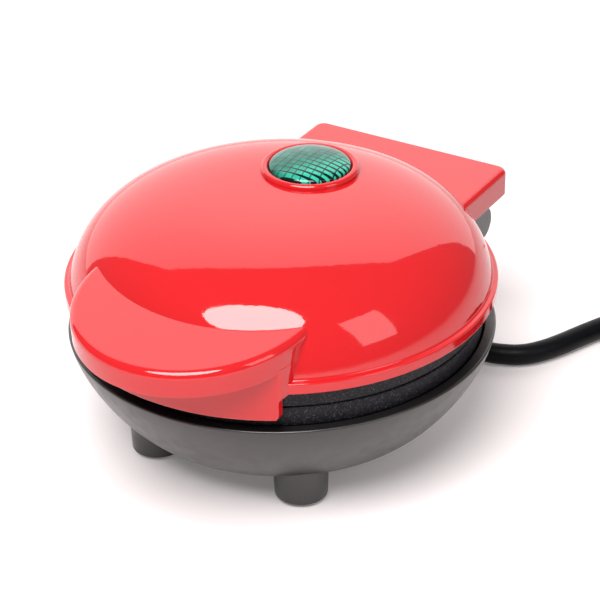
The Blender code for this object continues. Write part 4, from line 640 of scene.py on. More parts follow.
class Shape:
    """A mesh while it is being made."""

    def __init__(self) -> None:
        """Starts empty."""
        self.mesh = bmesh.new()

    def clean(self) -> "Shape":
        """Merges doubled points and turns the faces outwards.

        Returns:
            The shape.
        """
        bmesh.ops.remove_doubles(self.mesh, verts=self.mesh.verts, dist=0.000002)
        bmesh.ops.dissolve_degenerate(self.mesh, edges=self.mesh.edges, dist=0.0000005)
        bmesh.ops.recalc_face_normals(self.mesh, faces=self.mesh.faces)
        return self

    @classmethod
    def turned(cls, profile: Sequence[Point2], steps: int = 160, ring: bool = False) -> "Shape":
        """Spins a profile about Z.

        Args:
            profile: Its points, as radius and height.
            steps: The steps of the full turn.
            ring: Whether the profile is closed, as on a ring.

        Returns:
            The shape.
        """
        shape = cls()
        points = [shape.mesh.verts.new((radius, 0.0, height)) for radius, height in profile]
        pairs = zip(points, points[1:] + (points[:1] if ring else []))
        edges = [shape.mesh.edges.new(pair) for pair in pairs]
        bmesh.ops.spin(
            shape.mesh, geom=points + edges, cent=(0.0, 0.0, 0.0), axis=(0.0, 0.0, 1.0), angle=2 * math.pi,
            steps=steps, use_merge=True,
        )
        return shape.clean()

    @classmethod
    def prism(cls, outline: Sequence[Point2], low: float, high: float) -> "Shape":
        """Raises a flat outline from one height to another.

        Args:
            outline: Its points.
            low: The lower height.
            high: The upper height.

        Returns:
            The shape.
        """
        shape = cls()
        face = shape.mesh.faces.new([shape.mesh.verts.new((*point, low)) for point in outline])
        raised = bmesh.ops.extrude_face_region(shape.mesh, geom=[face])["geom"]
        moved = [item for item in raised if isinstance(item, bmesh.types.BMVert)]
        bmesh.ops.translate(shape.mesh, verts=moved, vec=(0.0, 0.0, high - low))
        return shape.clean()

    @classmethod
    def block(cls, low: Sequence[float], high: Sequence[float]) -> "Shape":
        """A box between two corners, to be bevelled or used as a cutter.

        Args:
            low: The corner with the lesser numbers.
            high: The opposite corner.

        Returns:
            The shape.
        """
        shape = cls()
        low, high = Vector(low), Vector(high)
        bmesh.ops.create_cube(shape.mesh, size=1.0)
        bmesh.ops.scale(shape.mesh, vec=high - low, verts=shape.mesh.verts)
        return shape.moved((low + high) / 2)

    @classmethod
    def rod(cls, radius: float, low: Sequence[float], high: Sequence[float], steps: int = 48,
            end_radius: Optional[float] = None) -> "Shape":
        """A round bar between two places.

        Args:
            radius: Its radius at the first place.
            low: The first place.
            high: The second place.
            steps: Its sides.
            end_radius: Its radius at the second place, if not the same.

        Returns:
            The shape.
        """
        shape = cls()
        low, high = Vector(low), Vector(high)
        bmesh.ops.create_cone(
            shape.mesh, cap_ends=True, segments=steps, radius1=radius,
            radius2=radius if end_radius is None else end_radius, depth=(high - low).length,
        )
        turn = (high - low).to_track_quat("Z", "Y").to_matrix().to_4x4()
        return shape.placed(Matrix.Translation((low + high) / 2) @ turn)

    def placed(self, matrix: Matrix) -> "Shape":
        """Moves and turns the whole shape."""
        bmesh.ops.transform(self.mesh, matrix=matrix, verts=self.mesh.verts)
        return self

    def moved(self, offset: Sequence[float]) -> "Shape":
        """Moves the whole shape."""
        return self.placed(Matrix.Translation(Vector(offset)))

    def bevelled(self, width: float, segments: int, chosen: Callable[[bmesh.types.BMEdge], bool]) -> "Shape":
        """Rounds the chosen edges.

        Args:
            width: The round's width, in metres.
            segments: Its steps.
            chosen: Says whether an edge is rounded.

        Returns:
            The shape.
        """
        edges = [edge for edge in self.mesh.edges if chosen(edge)]
        bmesh.ops.bevel(
            self.mesh, geom=edges, offset=width, offset_type="OFFSET", segments=segments, profile=0.5,
            affect="EDGES", material=-1, clamp_overlap=True,
        )
        return self

    def with_(self, *others: "Shape") -> "Shape":
        """Takes other meshes in as they are.

        Args:
            others: The meshes.

        Returns:
            The shape.
        """
        for other in others:
            spare = bpy.data.meshes.new("spare")
            other.mesh.to_mesh(spare)
            self.mesh.from_mesh(spare)
            bpy.data.meshes.remove(spare)
        return self

    def combined(self, cut: Cut, *others: "Shape") -> "Shape":
        """Puts the shape together with others as solids.

        Args:
            cut: How they are put together.
            others: The other solids.

        Returns:
            The new shape.
        """
        items = [added("solid", shape.to_mesh("solid")) for shape in (self, *others)]
        for other in items[1:]:
            modifier = items[0].modifiers.new("solid", "BOOLEAN")
            modifier.operation = cut.value
            modifier.solver = "EXACT"
            modifier.object = other
        bpy.context.view_layer.update()
        made = bpy.data.meshes.new_from_object(items[0].evaluated_get(bpy.context.evaluated_depsgraph_get()))
        result = Shape()
        result.mesh.from_mesh(made)
        for item in items:
            spare = item.data
            bpy.data.objects.remove(item, do_unlink=True)
            bpy.data.meshes.remove(spare)
        bpy.data.meshes.remove(made)
        return result

    def to_mesh(self, name: str) -> bpy.types.Mesh:
        """The shape as a mesh of Blender's own.

        Args:
            name: The mesh's name.

        Returns:
            The mesh.
        """
        mesh = bpy.data.meshes.new(name)
        self.mesh.to_mesh(mesh)
        return mesh


def sharper_than(degrees: float) -> Callable[[bmesh.types.BMEdge], bool]:
    """Chooses the edges where the faces turn by more than an angle."""
    return lambda edge: edge.is_manifold and edge.calc_face_angle(0.0) > math.radians(degrees)


def level_at(height: float) -> Callable[[bmesh.types.BMEdge], bool]:
    """Chooses the sharp edges at one height."""
    sharp = sharper_than(40.0)
    return lambda edge: sharp(edge) and all(abs(vert.co.z - height) < 1e-6 for vert in edge.verts)


# ---- Sub-assemblies


@dataclass(frozen=True)
class Fit:
    """Sizes that several sub-assemblies share, as the frame has them."""

    gap: float = 0.0003
    play: float = 0.00008
    wall: float = 0.0025
    lip_radius: float = 0.0650
    lid_edge_z: float = 0.0497
    lip_top_z: float = 0.0532
    dome_radius: float = 0.06463
    dome_base_z: float = 0.0343
    dome_rise: float = 0.0454
    dome_power: float = 3.24
    ledge_fillet: float = 0.0011
    collar_y: float = 0.0176
    collar_top_z: float = 0.0812
    collar_hole: float = 0.01256
    hinge_y: float = 0.0708
    hinge_z: float = 0.0441
    ear_radius: float = 0.0053
    pin_radius: float = 0.0020
    bush_radius: float = 0.0030
    parting_z: float = 0.0430
    parting_gap: float = 0.0003
    plate_radius: float = 0.0608
    plate_rim_depth: float = 0.0060
    rim_z: float = 0.0373
    screw_radius: float = 0.0575
    post_radius: float = 0.0240
    post_angles: Tuple[float, ...] = (29.0, 149.0, 269.0)
    post_top_z: float = 0.0240
    well_roof: float = 0.0030
    outlet: Point3 = (0.0095, 0.0608, 0.0185)
    outlet_slope_deg: float = 30.0
    outlet_wall: float = 0.0024

    def upper_face(self) -> float:
        """The height of the upper plate's face."""
        return self.parting_z + self.parting_gap / 2

    def leaving(self) -> Vector:
        """The direction in which the cord leaves the base."""
        slope = math.radians(self.outlet_slope_deg)
        return Vector((math.cos(slope), 0.0, -math.sin(slope)))

    def dome(self, inset: float, foot_z: float, count: int) -> List[Point2]:
        """The dome's side from its top down to a height.

        Args:
            inset: How far inside the outer face it lies.
            foot_z: The height where it ends.
            count: The number of points.

        Returns:
            The points, as radius and height.
        """
        rise = self.dome_rise - inset
        share = ((foot_z - self.dome_base_z) / rise) ** (self.dome_power / 2)
        foot = math.degrees(math.asin(share))
        side = superellipse(self.dome_radius - inset, rise, self.dome_power, 90.0, foot, count)
        return [(radius, self.dome_base_z + height) for radius, height in side]

    def core(self) -> Shape:
        """A solid inside the dome's wall, which trims what joins the dome from outside."""
        side = self.dome(self.wall / 2, self.lid_edge_z + self.gap, 40)
        return Shape.turned(side + [(0.0, side[-1][1])], 128)


@dataclass
class SubAssembly:
    """What every sub-assembly needs to hand over its pieces."""

    fit: Fit = field(default_factory=Fit)

    def piece(
        self, name: str, shape: Shape, finish: Finish, body: Body, stands_for: Iterable[str],
        sharp_deg: float = 32.0,
    ) -> bpy.types.Object:
        """Makes a shape a piece of the object.

        Args:
            name: The piece's name.
            shape: Its mesh, in place.
            finish: Its finish.
            body: The body that it rides on.
            stands_for: The frame's nodes that it replaces.
            sharp_deg: The angle from which an edge is left sharp.

        Returns:
            The object.
        """
        mesh = shape.to_mesh(name)
        shape.mesh.free()
        mesh.shade_smooth()
        mesh.set_sharp_from_angle(angle=math.radians(sharp_deg))
        mesh.materials.append(finish.material())
        item = added(name, mesh)
        normals = item.modifiers.new("face_weighted_normals", "WEIGHTED_NORMAL")
        normals.keep_sharp = True
        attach(item, body.value)
        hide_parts(*stands_for)
        LOG.info("%s: %d faces", name, len(mesh.polygons))
        return item

    @staticmethod
    def dress(finish: Finish, *nodes: str) -> None:
        """Gives carried-over nodes a finish.

        Args:
            finish: The finish.
            nodes: The frame's nodes.
        """
        for node in nodes:
            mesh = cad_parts[node].data
            mesh.materials.clear()
            mesh.materials.append(finish.material())
            LOG.info("%s: carried over in %s", node, finish.name)


@dataclass
class Lid(SubAssembly):
    """The red lid: dome with its lip, lens collar, handle, hinge block, barrels and bosses."""

    collar_radius: float = 0.0149
    collar_round: float = 0.0013
    collar_inner_round: float = 0.0011
    collar_foot: float = 0.0018
    lens_roof: float = 0.0024
    housing_radius: float = 0.0139
    housing_wall: float = 0.0020
    housing_depth: float = 0.0100
    handle_half_width: float = 0.0365
    handle_half_depth: float = 0.0381
    handle_y: float = -0.0444
    handle_top_z: float = 0.0669
    handle_slope: float = 0.092
    handle_height: float = 0.0083
    handle_round: float = 0.0024
    handle_foot_round: float = 0.0006
    handle_steps: int = 144
    skirt_radius: float = 0.0668
    skirt_wall: float = 0.0018
    skirt_root: float = 0.0040
    skirt_edge_z: float = 0.0422
    skirt_top_z: float = 0.0590
    skirt_half_width: float = 0.0357
    skirt_foot_half_width: float = 0.0339
    skirt_corner: float = 0.0026
    skirt_fillet: float = 0.0018
    skirt_end_round: float = 0.0012
    skirt_overlap: float = 0.0005
    skirt_margin: float = 0.0002
    skirt_lean: float = 0.0004
    skirt_plan_y: float = -0.0200
    skirt_plan_steps: int = 28
    block_half_width: float = 0.0349
    block_foot_z: float = 0.0512
    block_front_y: float = 0.0468
    block_back_y: float = 0.08255
    block_top_z: float = 0.0600
    block_corner: float = 0.0036
    block_round: float = 0.0019
    block_foot_round: float = 0.0004
    pocket_corner: float = 0.0020
    barrel_inner_x: float = 0.0121
    barrel_outer_x: float = 0.0197
    web_share: float = 0.9
    boss_radius: float = 0.0034
    boss_bore: float = 0.00152
    boss_top_z: float = 0.0615
    flare: float = 0.00022

    def build(self) -> None:
        """Makes all of the lid's moulding."""
        for name, shape in (
            ("lid_dome", self.dome()), ("lid_lens_collar", self.collar()), ("lid_handle", self.handle()),
            ("lid_hinge_block", self.block()), ("lid_hinge_barrels", self.barrels()),
            ("lid_bosses", self.bosses()),
        ):
            self.piece(name, shape, RED, Body.LID, ["lid_shell"])

    def dome(self) -> Shape:
        """The dome with its ledge and lip, and the hole for the lens.

        Returns:
            The shape.
        """
        fit = self.fit
        outer = fit.dome(0.0, fit.lip_top_z + fit.ledge_fillet, 72)
        foot = outer[-1][0]
        lip = filleted([
            (foot, outer[-1][1], 0.0), (foot + self.flare, fit.lip_top_z, 0.0009),
            (fit.lip_radius, fit.lip_top_z, 0.0006), (fit.lip_radius, fit.lid_edge_z, 0.0005),
            (fit.lip_radius - fit.wall, fit.lid_edge_z, 0.0003),
            (fit.lip_radius - fit.wall, fit.lip_top_z - fit.wall, 0.0),
        ])
        inner = fit.dome(fit.wall, fit.lip_top_z, 40)[::-1]
        shape = Shape.turned(outer + lip[1:] + inner, 256)
        hole = Shape.rod(self.collar_radius - self.collar_round / 3, (0.0, fit.collar_y, fit.lip_top_z),
                         (0.0, fit.collar_y, fit.collar_top_z + fit.wall), 96)
        return shape.combined(Cut.DIFFERENCE, hole)

    def collar(self) -> Shape:
        """The ring round the lens and the housing under it.

        Returns:
            The shape.
        """
        fit = self.fit
        seat = fit.collar_top_z - self.lens_roof
        foot_z = seat - self.collar_foot
        inner, end_z = self.housing_radius, seat - self.housing_depth
        outer = inner + self.housing_wall
        profile = filleted([
            (fit.collar_hole, seat, 0.0), (fit.collar_hole, fit.collar_top_z, self.collar_inner_round),
            (self.collar_radius, fit.collar_top_z, self.collar_round),
            (self.collar_radius, foot_z, 0.0), (outer, foot_z, 0.0), (outer, end_z, 0.0004),
            (inner, end_z, 0.0), (inner, seat, 0.0),
        ], closed=True)
        return Shape.turned(profile, 128, ring=True).moved((0.0, fit.collar_y, 0.0))

    def slab(self, inset: float, top_z: float, height: float, slope: float) -> Tuple[Shape, Matrix]:
        """An elliptical slab of the handle's plan, and where it goes.

        Args:
            inset: How far inside the handle's edge it lies.
            top_z: The height of its top, in the middle.
            height: Its thickness.
            slope: How much it rises for each metre towards the back.

        Returns:
            The slab about the origin, and its place.
        """
        across, along = self.handle_half_width - inset, self.handle_half_depth - inset
        angles = [2 * math.pi * step / self.handle_steps for step in range(self.handle_steps)]
        outline = [(across * math.cos(angle), along * math.sin(angle)) for angle in angles]
        middle = Matrix.Translation((0.0, self.handle_y, top_z - height / 2))
        place = middle @ Matrix.Rotation(math.atan(slope), 4, "X")
        return Shape.prism(outline, -height / 2, height / 2), place

    def handle(self) -> Shape:
        """The crescent shelf, hollow from below, with the wall that runs down over the plates' edge.

        Returns:
            The shape.
        """
        fit = self.fit
        shelf, place = self.slab(0.0, self.handle_top_z, self.handle_height, self.handle_slope)
        shelf.bevelled(self.handle_round, 7, level_at(self.handle_height / 2))
        shelf.bevelled(self.handle_foot_round, 2, level_at(-self.handle_height / 2))
        depth = self.handle_height + self.skirt_edge_z / 2
        hollow, hollow_place = self.slab(fit.wall, self.handle_top_z - fit.wall, depth, self.handle_slope)
        top_z, reach = self.handle_top_z + fit.wall, self.skirt_radius
        stand = Shape.turned([(0.0, top_z), (reach, top_z), (reach, 0.0), (0.0, 0.0)], 256)
        room = hollow.placed(hollow_place).combined(Cut.DIFFERENCE, stand)
        shelf = shelf.placed(place).combined(Cut.DIFFERENCE, room, fit.core())
        return shelf.combined(Cut.UNION, self.skirt())

    def skirt(self) -> Shape:
        """The handle's lower wall, kept inside the handle's plan and the front view's rounded outline.

        Returns:
            The shape.
        """
        fit = self.fit
        inner, top = self.skirt_radius - self.skirt_wall, self.skirt_top_z
        root = fit.dome_radius - self.skirt_root
        step_z = fit.lip_top_z - self.skirt_overlap
        ring = Shape.turned(filleted([
            (self.skirt_radius, top, 0.0), (self.skirt_radius, self.skirt_edge_z, 0.0006),
            (inner, self.skirt_edge_z, 0.0003), (inner, step_z, 0.0), (root, step_z, 0.0), (root, top, 0.0),
        ], closed=True), 256, ring=True)
        wide, foot = self.skirt_half_width, self.skirt_foot_half_width
        low = self.skirt_edge_z - self.skirt_overlap
        right = [(wide, self.handle_top_z, 0.0), (wide, fit.lid_edge_z, 0.0),
                 (foot, fit.lid_edge_z, self.skirt_fillet), (foot, low, self.skirt_corner)]
        left = [(-across, up, corner) for across, up, corner in right]
        outline = filleted(left + right[::-1], 8, closed=True)
        front = Shape.prism(outline, PAST, self.skirt_radius + 2 * PAST).placed(FORWARDS)
        ends = Shape.prism(self.ends(), 0.0, 2 * self.handle_top_z)
        plan, place = self.slab(0.0, self.handle_top_z, self.handle_top_z, 0.0)
        return ring.combined(Cut.INTERSECT, front, plan.placed(place), ends)

    def ends(self) -> List[Point2]:
        """The skirt's plan with rounded outer corners.

        Returns:
            The outline's points.
        """
        wide, steps = self.skirt_half_width, self.skirt_plan_steps
        radius = self.skirt_radius + self.skirt_margin
        reach = math.degrees(math.asin(wide / radius))
        middle = [polar(radius, -90.0 + reach * (2 * step / steps - 1)).xy for step in range(1, steps)]
        corner = polar(radius, -90.0 + reach).xy
        outer = [(-corner.x, corner.y, self.skirt_end_round)] + [(*point, 0.0) for point in middle]
        outer.append((corner.x, corner.y, self.skirt_end_round))
        # The walls lean out towards the dome, where the handle is at its widest.
        wall, back = wide + self.skirt_lean, self.skirt_plan_y
        return filleted([(-wall, back, 0.0), *outer, (wall, back, 0.0)], 6, closed=True)

    def block(self) -> Shape:
        """The rear block over the hinge, open below.

        Returns:
            The shape.
        """
        fit = self.fit
        wide, back = self.block_half_width, self.block_back_y
        outline = rounded_rectangle((-wide, self.block_front_y), (wide, back), self.block_corner)
        body = Shape.prism(outline, self.block_foot_z, self.block_top_z)
        body.bevelled(self.block_round, 6, level_at(self.block_top_z))
        body.bevelled(self.block_foot_round, 2, level_at(self.block_foot_z))
        side, front = wide - fit.wall, fit.lip_radius + self.skirt_overlap
        inside = rounded_rectangle((-side, front), (side, back - fit.wall), self.pocket_corner)
        pocket = Shape.prism(inside, fit.lid_edge_z - fit.wall, self.block_top_z - fit.wall)
        return body.combined(Cut.DIFFERENCE, pocket, fit.core())

    def barrels(self) -> Shape:
        """The two barrels on the hinge's axis, with their webs up into the block.

        Returns:
            The shape.
        """
        fit = self.fit
        made = Shape()
        axis = (fit.hinge_y, fit.hinge_z)
        half, top_z = fit.ear_radius * self.web_share, self.block_top_z - fit.wall / 2
        for side, bore in ((-1, fit.bush_radius), (1, fit.pin_radius)):
            low, high = sorted((side * self.barrel_inner_x, side * self.barrel_outer_x))
            round_ = arc(axis, fit.ear_radius, -180.0, 0.0)
            outline = [(fit.hinge_y - half, top_z)] + round_ + [(fit.hinge_y + half, top_z)]
            lug = Shape.prism(outline, low, high).placed(SIDEWAYS).bevelled(0.0003, 2, sharper_than(60.0))
            hole = Shape.rod(bore + fit.play, (low - PAST, *axis), (high + PAST, *axis))
            made.with_(lug.combined(Cut.DIFFERENCE, hole))
        return made

    def bosses(self) -> Shape:
        """The bosses inside that the upper plate is screwed to.

        Returns:
            The shape.
        """
        fit = self.fit
        low = fit.upper_face() + fit.plate_rim_depth + fit.gap
        made = Shape()
        for angle in fit.post_angles:
            ring = Shape.turned(filleted([
                (self.boss_bore, low, 0.0), (self.boss_radius, low, 0.0003),
                (self.boss_radius, self.boss_top_z, 0.0), (self.boss_bore, self.boss_top_z, 0.0),
            ], 3, closed=True), 40, ring=True)
            made.with_(ring.moved(polar(fit.screw_radius, angle)))
        return made


@dataclass
class Indicator(SubAssembly):
    """The green lens in the collar, and the retainer and lamp under it."""

    play: float = 0.00025
    flange_radius: float = 0.0136
    flange_thickness: float = 0.0016
    crown: float = 0.0029
    edge_drop: float = 0.0003
    roof: float = 0.0024
    crown_power: float = 1.9
    hollow_share: float = 0.8

    def build(self) -> None:
        """Makes the lens and dresses what is under it."""
        fit = self.fit
        radius = fit.collar_hole - self.play
        edge_z = fit.collar_top_z - self.edge_drop
        seat_z = fit.collar_top_z - self.roof - fit.gap
        crown = superellipse(radius, self.crown, self.crown_power, 90.0, 0.0, 36)
        dome = [(across, edge_z + up) for across, up in crown]
        foot_z, roof_z = seat_z - self.flange_thickness, edge_z - self.edge_drop
        flange, hollow = self.flange_radius, radius * self.hollow_share
        profile = dome[:-1] + filleted([
            (*dome[-2], 0.0), (*dome[-1], 0.0), (radius, seat_z, 0.0), (flange, seat_z, 0.0002),
            (flange, foot_z, 0.0002), (hollow, foot_z, 0.0), (hollow, roof_z, 0.0), (0.0, roof_z, 0.0),
        ], 3)[1:]
        shape = Shape.turned(profile, 128).moved((0.0, fit.collar_y, 0.0))
        self.piece("lens_crown", shape, LENS, Body.LID, ["indicator_lens"])
        self.dress(NATURAL, "lens_retainer")
        self.dress(LAMP, "indicator_lamp")
        self.dress(WIRE, "lamp_lead")


@dataclass
class WafflePlates(SubAssembly):
    """The two cast plates with their pegs, the elements, terminals and shields behind them."""

    cavity_radius: float = 0.0513
    cavity_depth: float = 0.0072
    draft: float = 0.0015
    floor: float = 0.0024
    side_wall: float = 0.0022
    channel_inner: float = 0.04355
    channel_rib: float = 0.0016
    channel_depth: float = 0.0030
    pitch: float = 0.0135
    rows: int = 7
    peg_base: float = 0.0100
    peg_tip: float = 0.0070
    peg_height: float = 0.0046
    peg_round: float = 0.0008
    field_radius: float = 0.0486
    post_radius: float = 0.0036
    lower_post_end: float = 0.01885
    upper_post_end: float = 0.0176
    sink_radius: float = 0.0029
    sink_depth: float = 0.0021
    sharp_deg: float = 38.0

    def build(self) -> None:
        """Makes both plates and dresses what is behind them."""
        fit = self.fit
        lower = self.plate(fit.parting_z - fit.parting_gap / 2, -1, self.lower_post_end)
        self.piece("lower_waffle_plate", lower, COATING, Body.BASE, ["lower_plate"], self.sharp_deg)
        face = fit.upper_face()
        sinks = [
            Shape.rod(self.sink_radius, polar(fit.screw_radius, angle, face - PAST),
                      polar(fit.screw_radius, angle, face + self.sink_depth), 40)
            for angle in fit.post_angles
        ]
        upper = self.plate(face, 1, self.upper_post_end).combined(Cut.DIFFERENCE, *sinks)
        self.piece("upper_waffle_plate", upper, COATING, Body.LID, ["upper_plate"], self.sharp_deg)
        self.dress(STEEL, "lower_element", "upper_element")
        self.dress(SHEET, "lower_shield", "upper_shield")
        self.dress(
            CERAMIC, "lower_terminal_left", "lower_terminal_right", "upper_terminal_left",
            "upper_terminal_right",
        )

    def plate(self, face_z: float, away: int, post_end: float) -> Shape:
        """One plate.

        Args:
            face_z: The height of its face.
            away: -1 where its back is below the face, and 1 where it is above.
            post_end: How far its posts reach behind the face.

        Returns:
            The shape.
        """
        fit, side, rim = self.fit, self.cavity_radius + self.side_wall, self.fit.plate_rim_depth
        back = self.cavity_depth + self.floor
        rib = back + self.channel_depth
        outer = self.channel_inner + self.channel_rib
        section = filleted([
            (0.0, self.cavity_depth, 0.0), (self.cavity_radius - self.draft, self.cavity_depth, 0.0016),
            (self.cavity_radius, 0.0, 0.0007), (fit.plate_radius, 0.0, 0.0006),
            (fit.plate_radius, rim, 0.0004), (side, rim, 0.0004),
            (side - self.draft / 2, back, 0.0008), (outer, back, 0.0), (outer, rib, 0.0003),
            (self.channel_inner, rib, 0.0003), (self.channel_inner, back, 0.0), (0.0, back, 0.0),
        ])
        made = Shape.turned([(radius, face_z + away * depth) for radius, depth in section], 192)
        for angle in fit.post_angles:
            made.with_(Shape.rod(
                self.post_radius, polar(fit.post_radius, angle, face_z + away * (back - self.floor / 2)),
                polar(fit.post_radius, angle, face_z + away * post_end), 32))
        return made.with_(self.pegs(face_z, away))

    def pegs(self, face_z: float, away: int) -> Shape:
        """The square pegs that press the pockets into a waffle, kept inside the round field.

        Args:
            face_z: The height of the plate's face.
            away: -1 where the plate's back is below its face, and 1 where it is above.

        Returns:
            The shape.
        """
        made = Shape()
        sunk = self.floor / 2
        depth = self.peg_height + sunk
        growth = (self.peg_base - self.peg_tip) / self.peg_height
        root, tip = (self.peg_base + growth * sunk) / math.sqrt(2), self.peg_tip / math.sqrt(2)
        first, second = (root, tip) if away < 0 else (tip, root)
        middle = face_z + away * (self.cavity_depth - self.peg_height + depth / 2)
        places = [(index - (self.rows - 1) / 2) * self.pitch for index in range(self.rows)]
        for along, across in itertools.product(places, places):
            if math.hypot(across, along) > self.field_radius - self.peg_tip / 3:
                continue
            peg = Shape()
            place = Matrix.Translation((across, along, middle)) @ Matrix.Rotation(math.radians(45.0), 4, "Z")
            bmesh.ops.create_cone(
                peg.mesh, cap_ends=True, segments=4, radius1=first, radius2=second, depth=depth, matrix=place,
            )
            made.with_(peg.bevelled(self.peg_round, 3, sharper_than(30.0)))
        back = (0.0, 0.0, face_z + away * (self.cavity_depth + self.floor))
        face = (0.0, 0.0, face_z)
        field_ = Shape.rod(self.field_radius, back, face, 192, self.field_radius - self.draft / 2)
        return made.combined(Cut.INTERSECT, field_)


@dataclass
class Base(SubAssembly):
    """The black base: bowl, feet, hinge ears, column for the cord and the bosses inside."""

    rim_radius: float = 0.0648
    rim_width: float = 0.0036
    wall: float = 0.0026
    floor_radius: float = 0.0449
    floor_z: float = 0.0095
    bowl_power: float = 1.35
    leg_x: float = 0.0254
    leg_y: float = 0.0322
    foot_radius: float = 0.0079
    top_radius: float = 0.0087
    leg_top_z: float = 0.0200
    leg_end_z: float = 0.0009
    leg_bore: float = 0.0052
    leg_floor_z: float = 0.0057
    pad_radius: float = 0.0065
    pad_thickness: float = 0.0022
    pad_dish: float = 0.0003
    ear_half_span: float = 0.0320
    ear_width: float = 0.0120
    ear_wall: float = 0.0022
    ear_skin: float = 0.0015
    swing_play: float = 0.0013
    bracket_y: float = 0.0560
    bracket_z: float = 0.0290
    column_half_width: float = 0.0110
    column_front_y: float = 0.0450
    column_back_y: float = 0.0690
    column_foot_z: float = 0.0100
    column_top_z: float = 0.0350
    socket_radius: float = 0.0055
    socket_reach: float = 0.0119
    outlet_bore: float = 0.0045
    outlet_bore_depth: float = 0.0060
    boss_radius: float = 0.0052
    boss_bore: float = 0.0016
    well_radius: float = 0.0034
    clamp_boss_radius: float = 0.0030
    clamp_boss_height: float = 0.0030
    clamp_boss: Point2 = (0.0080, 0.0330)

    def build(self) -> None:
        """Makes the base's moulding and its feet."""
        for name, shape in (
            ("base_bowl", self.bowl()), ("base_legs", self.legs()), ("base_hinge_ears", self.ears()),
            ("base_cord_column", self.column()), ("base_bosses", self.bosses()),
        ):
            self.piece(name, shape, BLACK, Body.BASE, ["base_shell"])
        edge, dish = self.pad_radius, self.pad_dish
        profile = filleted([
            (0.0, self.pad_thickness, 0.0), (edge, self.pad_thickness, 0.0003), (edge, 0.0, 0.0006),
            (edge * 0.72, 0.0, 0.0003), (edge * 0.68, dish, 0.0), (0.0, dish, 0.0),
        ], 3)
        for name, place in self.places().items():
            pad = Shape.turned(profile, 56).moved((*place, 0.0))
            self.piece(f"rubber_foot_{name}", pad, RUBBER, Body.BASE, [f"foot_pad_{name}"])

    def places(self) -> Dict[str, Point2]:
        """Where the four legs stand.

        Returns:
            Their places, by name.
        """
        return {
            "front_left": (-self.leg_x, -self.leg_y), "front_right": (self.leg_x, -self.leg_y),
            "rear_left": (-self.leg_x, self.leg_y), "rear_right": (self.leg_x, self.leg_y),
        }

    def side(self, inset: float, count: int) -> List[Point2]:
        """The bowl's side from the rim down to its floor.

        Args:
            inset: How far inside the outer face it lies.
            count: The number of points.

        Returns:
            The points, as radius and height.
        """
        span, drop = self.rim_radius - self.floor_radius, self.fit.rim_z - self.floor_z
        curve = superellipse(span, drop, self.bowl_power, 0.0, 90.0, count)
        return [(self.floor_radius - inset + across, self.fit.rim_z - down) for across, down in curve]

    def bowl(self) -> Shape:
        """The bowl with its rim, and the wells of the screws under it.

        Returns:
            The shape.
        """
        inner_rim = self.rim_radius - self.rim_width
        top_z = self.fit.rim_z
        floor_top = self.floor_z + self.wall
        outer = self.side(0.0, 56)
        inner = [
            (min(radius, inner_rim), height) for radius, height in self.side(self.wall, 40)
            if floor_top < height < top_z - self.wall
        ]
        rim = filleted([
            (inner_rim, top_z - self.wall, 0.0), (inner_rim, top_z, 0.0004),
            (self.rim_radius, top_z, 0.0007), (*outer[3], 0.0),
        ])
        profile = [(0.0, floor_top)] + inner[::-1] + rim + outer[4:] + [(0.0, self.floor_z)]
        wells = [
            Shape.rod(self.well_radius, polar(self.fit.post_radius, angle, self.floor_z - PAST),
                      polar(self.fit.post_radius, angle, floor_top + PAST), 40)
            for angle in self.fit.post_angles
        ]
        return Shape.turned(profile, 224).combined(Cut.DIFFERENCE, *wells)

    def legs(self) -> Shape:
        """The four hollow, tapered legs.

        Returns:
            The shape.
        """
        bore, floor = self.leg_bore, self.leg_floor_z
        recess, seat = self.pad_radius + self.fit.gap, self.pad_thickness + self.fit.gap
        profile = filleted([
            (0.0, floor, 0.0), (bore, floor, 0.0), (bore, self.leg_top_z, 0.0),
            (self.top_radius, self.leg_top_z, 0.0), (self.foot_radius, self.leg_end_z, 0.0012),
            (recess, self.leg_end_z, 0.0001), (recess, seat, 0.0), (0.0, seat, 0.0),
        ], 4)
        legs = [Shape.turned(profile, 72).moved((*place, 0.0)) for place in self.places().values()]
        return Shape().with_(*legs)

    def ears(self) -> Shape:
        """The bracket behind the bowl whose two ears hold the hinge.

        Returns:
            The shape.
        """
        fit = self.fit
        axis = (fit.hinge_y, fit.hinge_z)
        top_z = fit.hinge_z + fit.ear_radius
        round_ = arc(axis, fit.ear_radius, 90.0, -90.0)
        outline = [(self.bracket_y, top_z)] + round_ + [(self.bracket_y, self.bracket_z)]
        body = Shape.prism(outline, -self.ear_half_span, self.ear_half_span).placed(SIDEWAYS)
        inner_x = self.ear_half_span - self.ear_width
        bay = Shape.block((-inner_x, self.bracket_y - PAST, fit.hinge_z - fit.ear_radius - 2 * fit.gap),
                          (inner_x, fit.hinge_y + 2 * fit.ear_radius, top_z + PAST))
        swing_radius = fit.plate_radius + self.swing_play
        swing = Shape.rod(swing_radius, (0.0, 0.0, fit.rim_z), (0.0, 0.0, top_z + PAST), 192)
        body = body.combined(Cut.DIFFERENCE, bay, swing).bevelled(0.0004, 2, sharper_than(50.0))
        rooms = [self.ear_room(side) for side in (-1, 1)]
        pin_end, bush_end = self.ear_half_span - self.ear_skin, -inner_x - self.ear_width / 2
        bores = [
            Shape.rod(fit.pin_radius + fit.play, (inner_x - PAST, *axis), (pin_end, *axis)),
            Shape.rod(fit.bush_radius + fit.play, (PAST - inner_x, *axis), (bush_end, *axis)),
        ]
        return body.combined(Cut.DIFFERENCE, *rooms, *bores)

